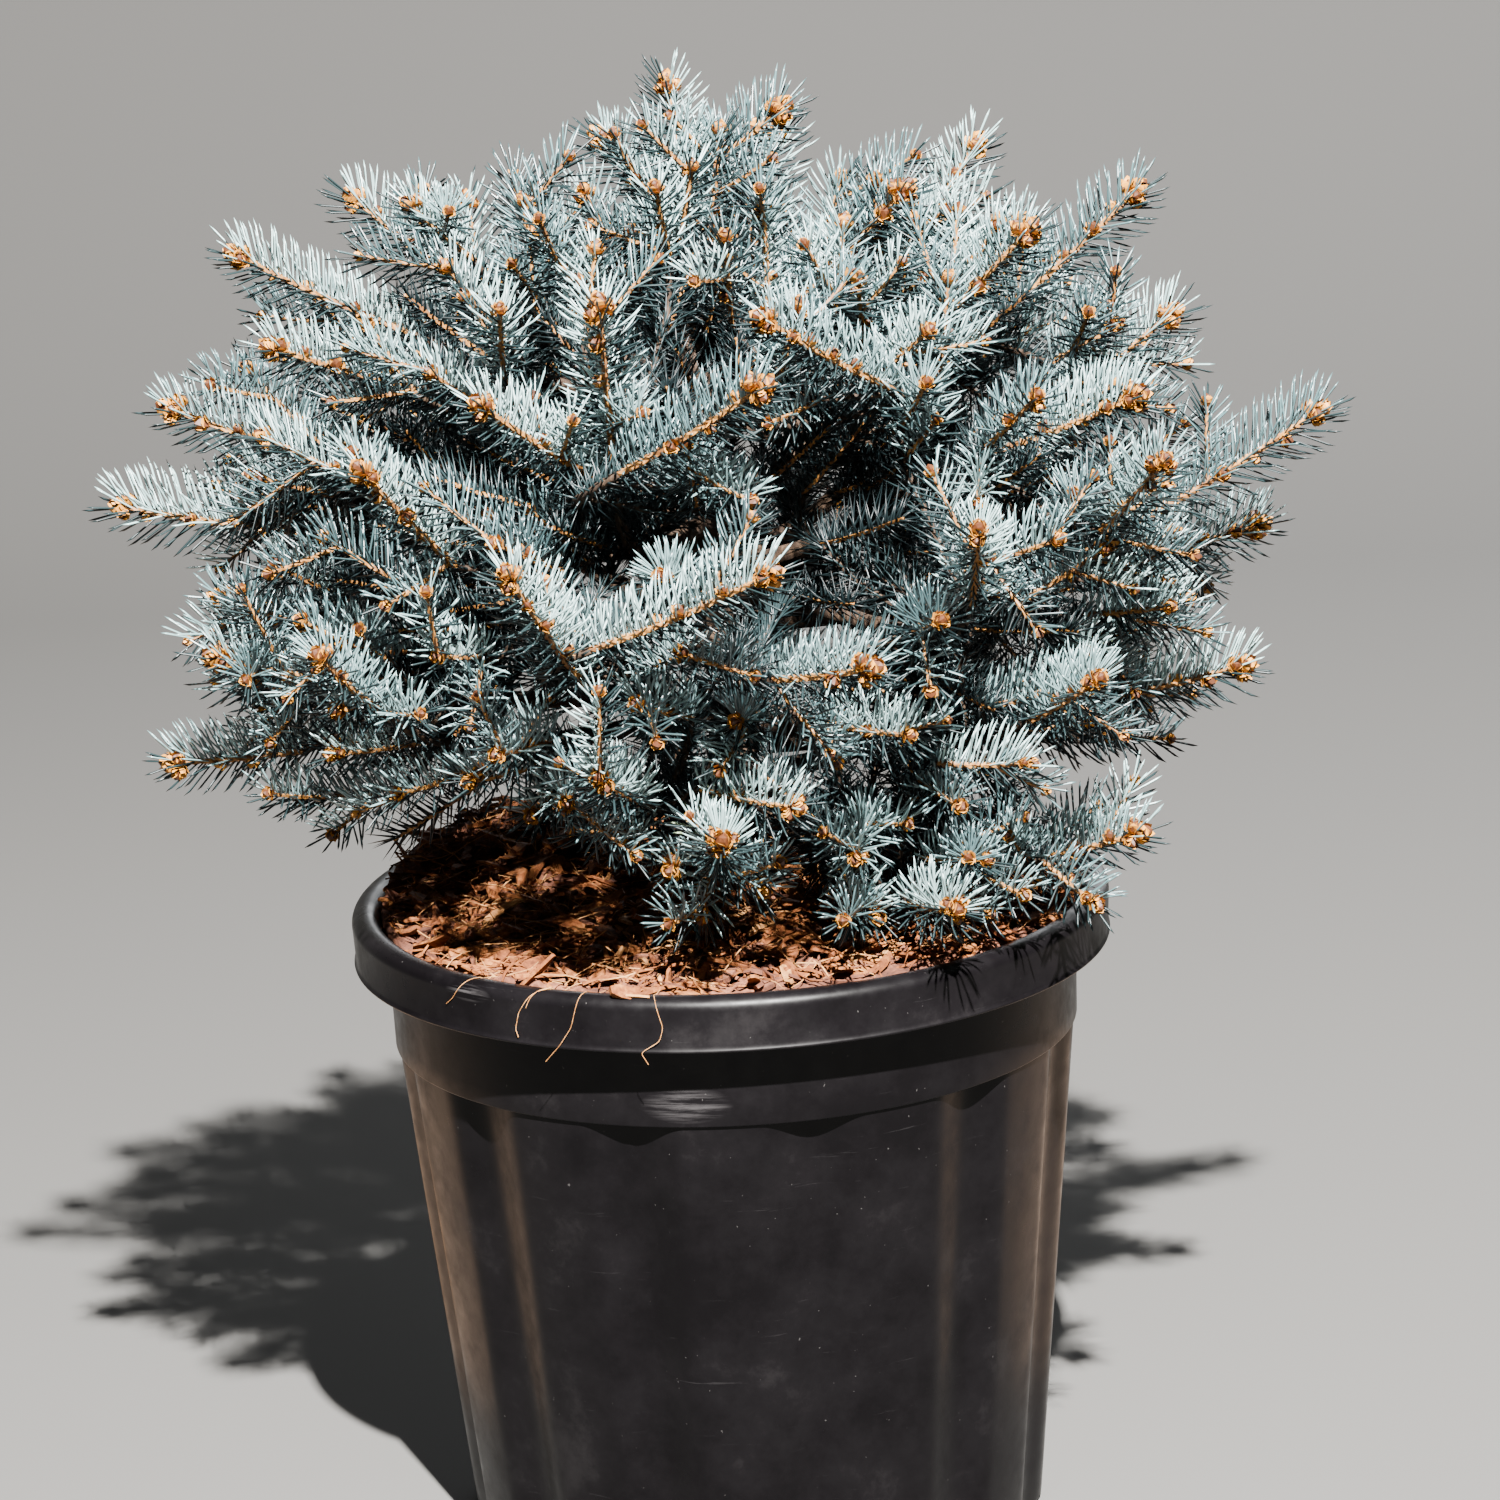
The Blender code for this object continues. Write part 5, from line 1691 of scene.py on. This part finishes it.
def make_shoot_bark(crown):
    """Young bark with pegs: rings that stand out by turns."""
    heap = Heap()
    for number, branch in enumerate(crown.shoots()):
        draw = np.random.default_rng(PEG_SEED * SEED_STEP + number)
        line = branch.drawn()
        total = lengths_along(line)[-1]
        pitch, sides = PEG_PITCH, PEG_SIDES
        if branch.kind == "inner":
            pitch, sides = INNER_PEG_PITCH, INNER_PEG_SIDES
        steps = ceil(total / pitch)
        reach = np.linspace(SHOOT_BARK_RADIUS, SHOOT_BARK_TIP_RADIUS, steps + 1) * TWIG_SIZES[branch.kind]
        ring, side = np.meshgrid(np.arange(steps + 1), np.arange(sides), indexing="ij")
        pegs = np.where((ring + side) % 2 == 0, *PEG_REACHES) + draw.normal(0, PEG_NOISE, ring.shape)
        add_tube(heap, part_of_line(line, 0, total, steps), reach[:, None] * pegs, SHOOT_POINT)
    return heap.mesh_object("shoot_bark", shoot_bark_finish(), smooth=False)


# Buds

def bud_core(sides):
    """An ovoid of length 1 along +Z: its points, quads and triangles."""
    heap = Heap()
    _, around = circle(sides)
    rings = [level_ring(around, radius, height) for height, radius in BUD_PROFILE]
    add_rings(heap, np.array(rings), (0, 0, 0), (0, 0, 1))
    return heap.joined()


def bud_scales(whorls):
    """Pointed scales in overlapping whorls round the core: their points, quads and triangles."""
    heap = Heap()
    heights, widths = zip(*BUD_PROFILE)
    for whorl, (foot, count, flare) in enumerate(whorls):
        half = SCALE_WIDTH * pi / count
        for number in range(count):
            middle = 2 * pi * (number + 0.5 * whorl) / count + SCALE_TWIST * whorl
            corners = []
            for across, rise, out, flared in SCALE_CORNERS:
                height = foot + rise
                radius = np.interp(height, heights, widths) + out + flare * flared
                angle = middle + half * across
                corners.append((radius * cos(angle), radius * sin(angle), height))
            heap.add(corners, [(0, 1, 3, 2)], [(2, 3, 4)])
    return heap.joined()


def tip_buds(branch, axis, size, draw):
    """The bud at a shoot's tip and the ring of buds round it: place, way, size, turn and whether large."""
    large = branch.kind != "fine"
    tip = axis[-1]
    way = unit(axis[-1] - axis[-2])
    rows = [(tip - way * size * BUD_SINK, way, size, draw.uniform(0, pi), large)]
    side = unit(np.cross(way, ODD_WAY))
    over = np.cross(way, side)
    ring = draw.choice(BUD_RINGS[branch.kind])
    first = draw.uniform(0, 2 * pi)
    for index in range(ring):
        angle = first + 2 * pi * index / ring + draw.uniform(-RING_NOISE, RING_NOISE)
        across = side * cos(angle) + over * sin(angle)
        slant = radians(draw.uniform(*RING_SLANT))
        place = tip - way * size * draw.uniform(*RING_DROP) + across * SHOOT_BARK_TIP_RADIUS
        bud_way = way * cos(slant) + across * sin(slant)
        rows.append((place, bud_way, size * draw.uniform(*RING_SIZES), draw.uniform(0, pi), large))
    return rows


def lone_buds(branch, axis, size, centre, draw):
    """Single small buds along a shoot, from its tip back, as rows like those of the tip's buds."""
    rows = []
    total = lengths_along(axis)[-1]
    outward = unit(axis[-1] - centre) * LONE_OUTWARD
    from_tip = draw.uniform(*BUD_SPACING[branch.kind])
    while from_tip < total * BUD_SHARE:
        places, tangents, _, _ = shoot_frame(axis, np.array([total - from_tip]), centre)
        turn = np.array([draw.gauss(0, LONE_SPREAD) for _ in range(3)]) + outward + (0, 0, LONE_RISE)
        across = unit(turn - tangents[0] * turn.dot(tangents[0]))
        slant = radians(draw.uniform(*LONE_SLANT))
        way = tangents[0] * cos(slant) + across * sin(slant)
        place = places[0] + across * SHOOT_BARK_RADIUS / 2
        rows.append((place, way, size * draw.uniform(*LONE_SIZES), draw.uniform(0, pi), False))
        from_tip += draw.uniform(*BUD_SPACING[branch.kind])
    return rows


def place_buds(crown):
    """Rows of all buds of the outer shoots: place, way, size, turn and whether large."""
    rows = []
    shoots = [branch for branch in crown.branches if branch.kind in BUD_RINGS]
    for number, branch in enumerate(shoots):
        draw = Random(BUD_SEED * SEED_STEP + number)
        axis = branch.drawn()
        size = BUD_LENGTH * draw.uniform(*BUD_SIZES) * TWIG_SIZES[branch.kind]
        rows += tip_buds(branch, axis, size, draw)
        rows += lone_buds(branch, axis, size, crown.centre, draw)
    return rows


def make_buds(crown):
    """Dark cores and paler scales, each kind one piece."""
    rows = place_buds(crown)
    pieces = []
    for name, colour, forms in (
        ("bud_cores", BUD_CORE, [bud_core(sides) for sides in BUD_SIDES]),
        ("bud_scales", BUD_SCALE, [bud_scales(whorls) for whorls in (BUD_WHORLS, SMALL_BUD_WHORLS)]),
    ):
        heap = Heap()
        for form, wants_large in zip(forms, (True, False)):
            for place, way, size, turn, large in rows:
                if large == wants_large:
                    heap.add_turned(form, place, unit(way), size, turn)
        finish = plain_finish(name, colour, roughness=0.55, specular=0.3)
        pieces.append(heap.mesh_object(name, finish, smooth=False))
    return pieces


# Stage

def add_floor():
    """A plain floor that sweeps up far behind."""
    profile = [(FLOOR_FRONT, 0), (FLOOR_BACK, 0)]
    for turn in np.radians(np.linspace(0, 90, SWEEP_STEPS + 1)[1:]):
        profile.append((FLOOR_BACK + SWEEP_RADIUS * sin(turn), SWEEP_RADIUS * (1 - cos(turn))))
    profile.append((FLOOR_BACK + SWEEP_RADIUS, FLOOR_TOP))
    points = [(x, y, z) for y, z in profile for x in (-FLOOR_REACH, FLOOR_REACH)]
    heap = Heap()
    heap.add(points, [(low, low + 1, low + 3, low + 2) for low in range(0, len(points) - 2, 2)])
    heap.mesh_object("floor", plain_finish("floor", FLOOR_COLOUR, roughness=0.85, specular=0.15))


def add_lights():
    """A hard key light in front, soft ones beside and behind, and two warm ones on the floor."""
    for name, place, target, size, power, colour in LIGHTS:
        light = bpy.data.lights.new(name, "AREA")
        light.size = size
        light.energy = power
        light.color = colour
        lamp = bpy.data.objects.new(name, light)
        lamp.location = place
        lamp.visible_camera = False
        lamp.rotation_euler = (Vector(target) - Vector(place)).to_track_quat("-Z", "Y").to_euler()
        bpy.context.scene.collection.objects.link(lamp)


def add_world():
    """A dim, slightly blue surround."""
    world = bpy.data.worlds.new("studio")
    world.use_nodes = True
    background = world.node_tree.nodes["Background"]
    background.inputs["Color"].default_value = WORLD_COLOUR
    background.inputs["Strength"].default_value = WORLD_STRENGTH
    bpy.context.scene.world = world


def add_camera():
    """The photograph's view, with its pitch, roll and distance."""
    pitch = radians(CAMERA_PITCH)
    roll = radians(CAMERA_ROLL)
    forward = Vector((0, cos(pitch), -sin(pitch)))
    level_up = Vector((0, sin(pitch), cos(pitch)))
    level_right = Vector((1, 0, 0))
    right = cos(roll) * level_right + sin(roll) * level_up
    up = cos(roll) * level_up - sin(roll) * level_right
    data = bpy.data.cameras.new("camera")
    data.lens = CAMERA_LENS
    data.sensor_width = CAMERA_SENSOR
    camera = bpy.data.objects.new("camera", data)
    rows = Matrix((right, up, -forward)).transposed().to_4x4()
    lip_middle = Vector((0, 0, POT_HEIGHT))
    rows.translation = lip_middle - forward * CAMERA_DISTANCE + right * CAMERA_SIDESTEP + up * CAMERA_LIFT
    camera.matrix_world = rows
    bpy.context.scene.collection.objects.link(camera)
    bpy.context.scene.camera = camera


def place_on_frame(pieces, nodes):
    """Every piece rides on the one body and stands for its nodes, which are hidden."""
    for piece in pieces:
        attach(piece, "root")
        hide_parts(*nodes)


def main():
    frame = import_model()
    node_names = sorted(frame["nodes"])
    needle_nodes = [name for name in node_names if name.startswith("needles_")]
    bough_nodes = [name for name in node_names if name.startswith("bough_")]
    crown = Crown()
    place_on_frame([make_pot()], ["pot"])
    place_on_frame(make_mulch(), ["mulch"])
    place_on_frame([make_trunk()], ["trunk"])
    place_on_frame([make_boughs(crown)], bough_nodes)
    place_on_frame(make_needles(crown), needle_nodes)
    place_on_frame([make_shoot_bark(crown), *make_buds(crown)], needle_nodes)
    add_floor()
    add_lights()
    add_world()
    add_camera()


main()
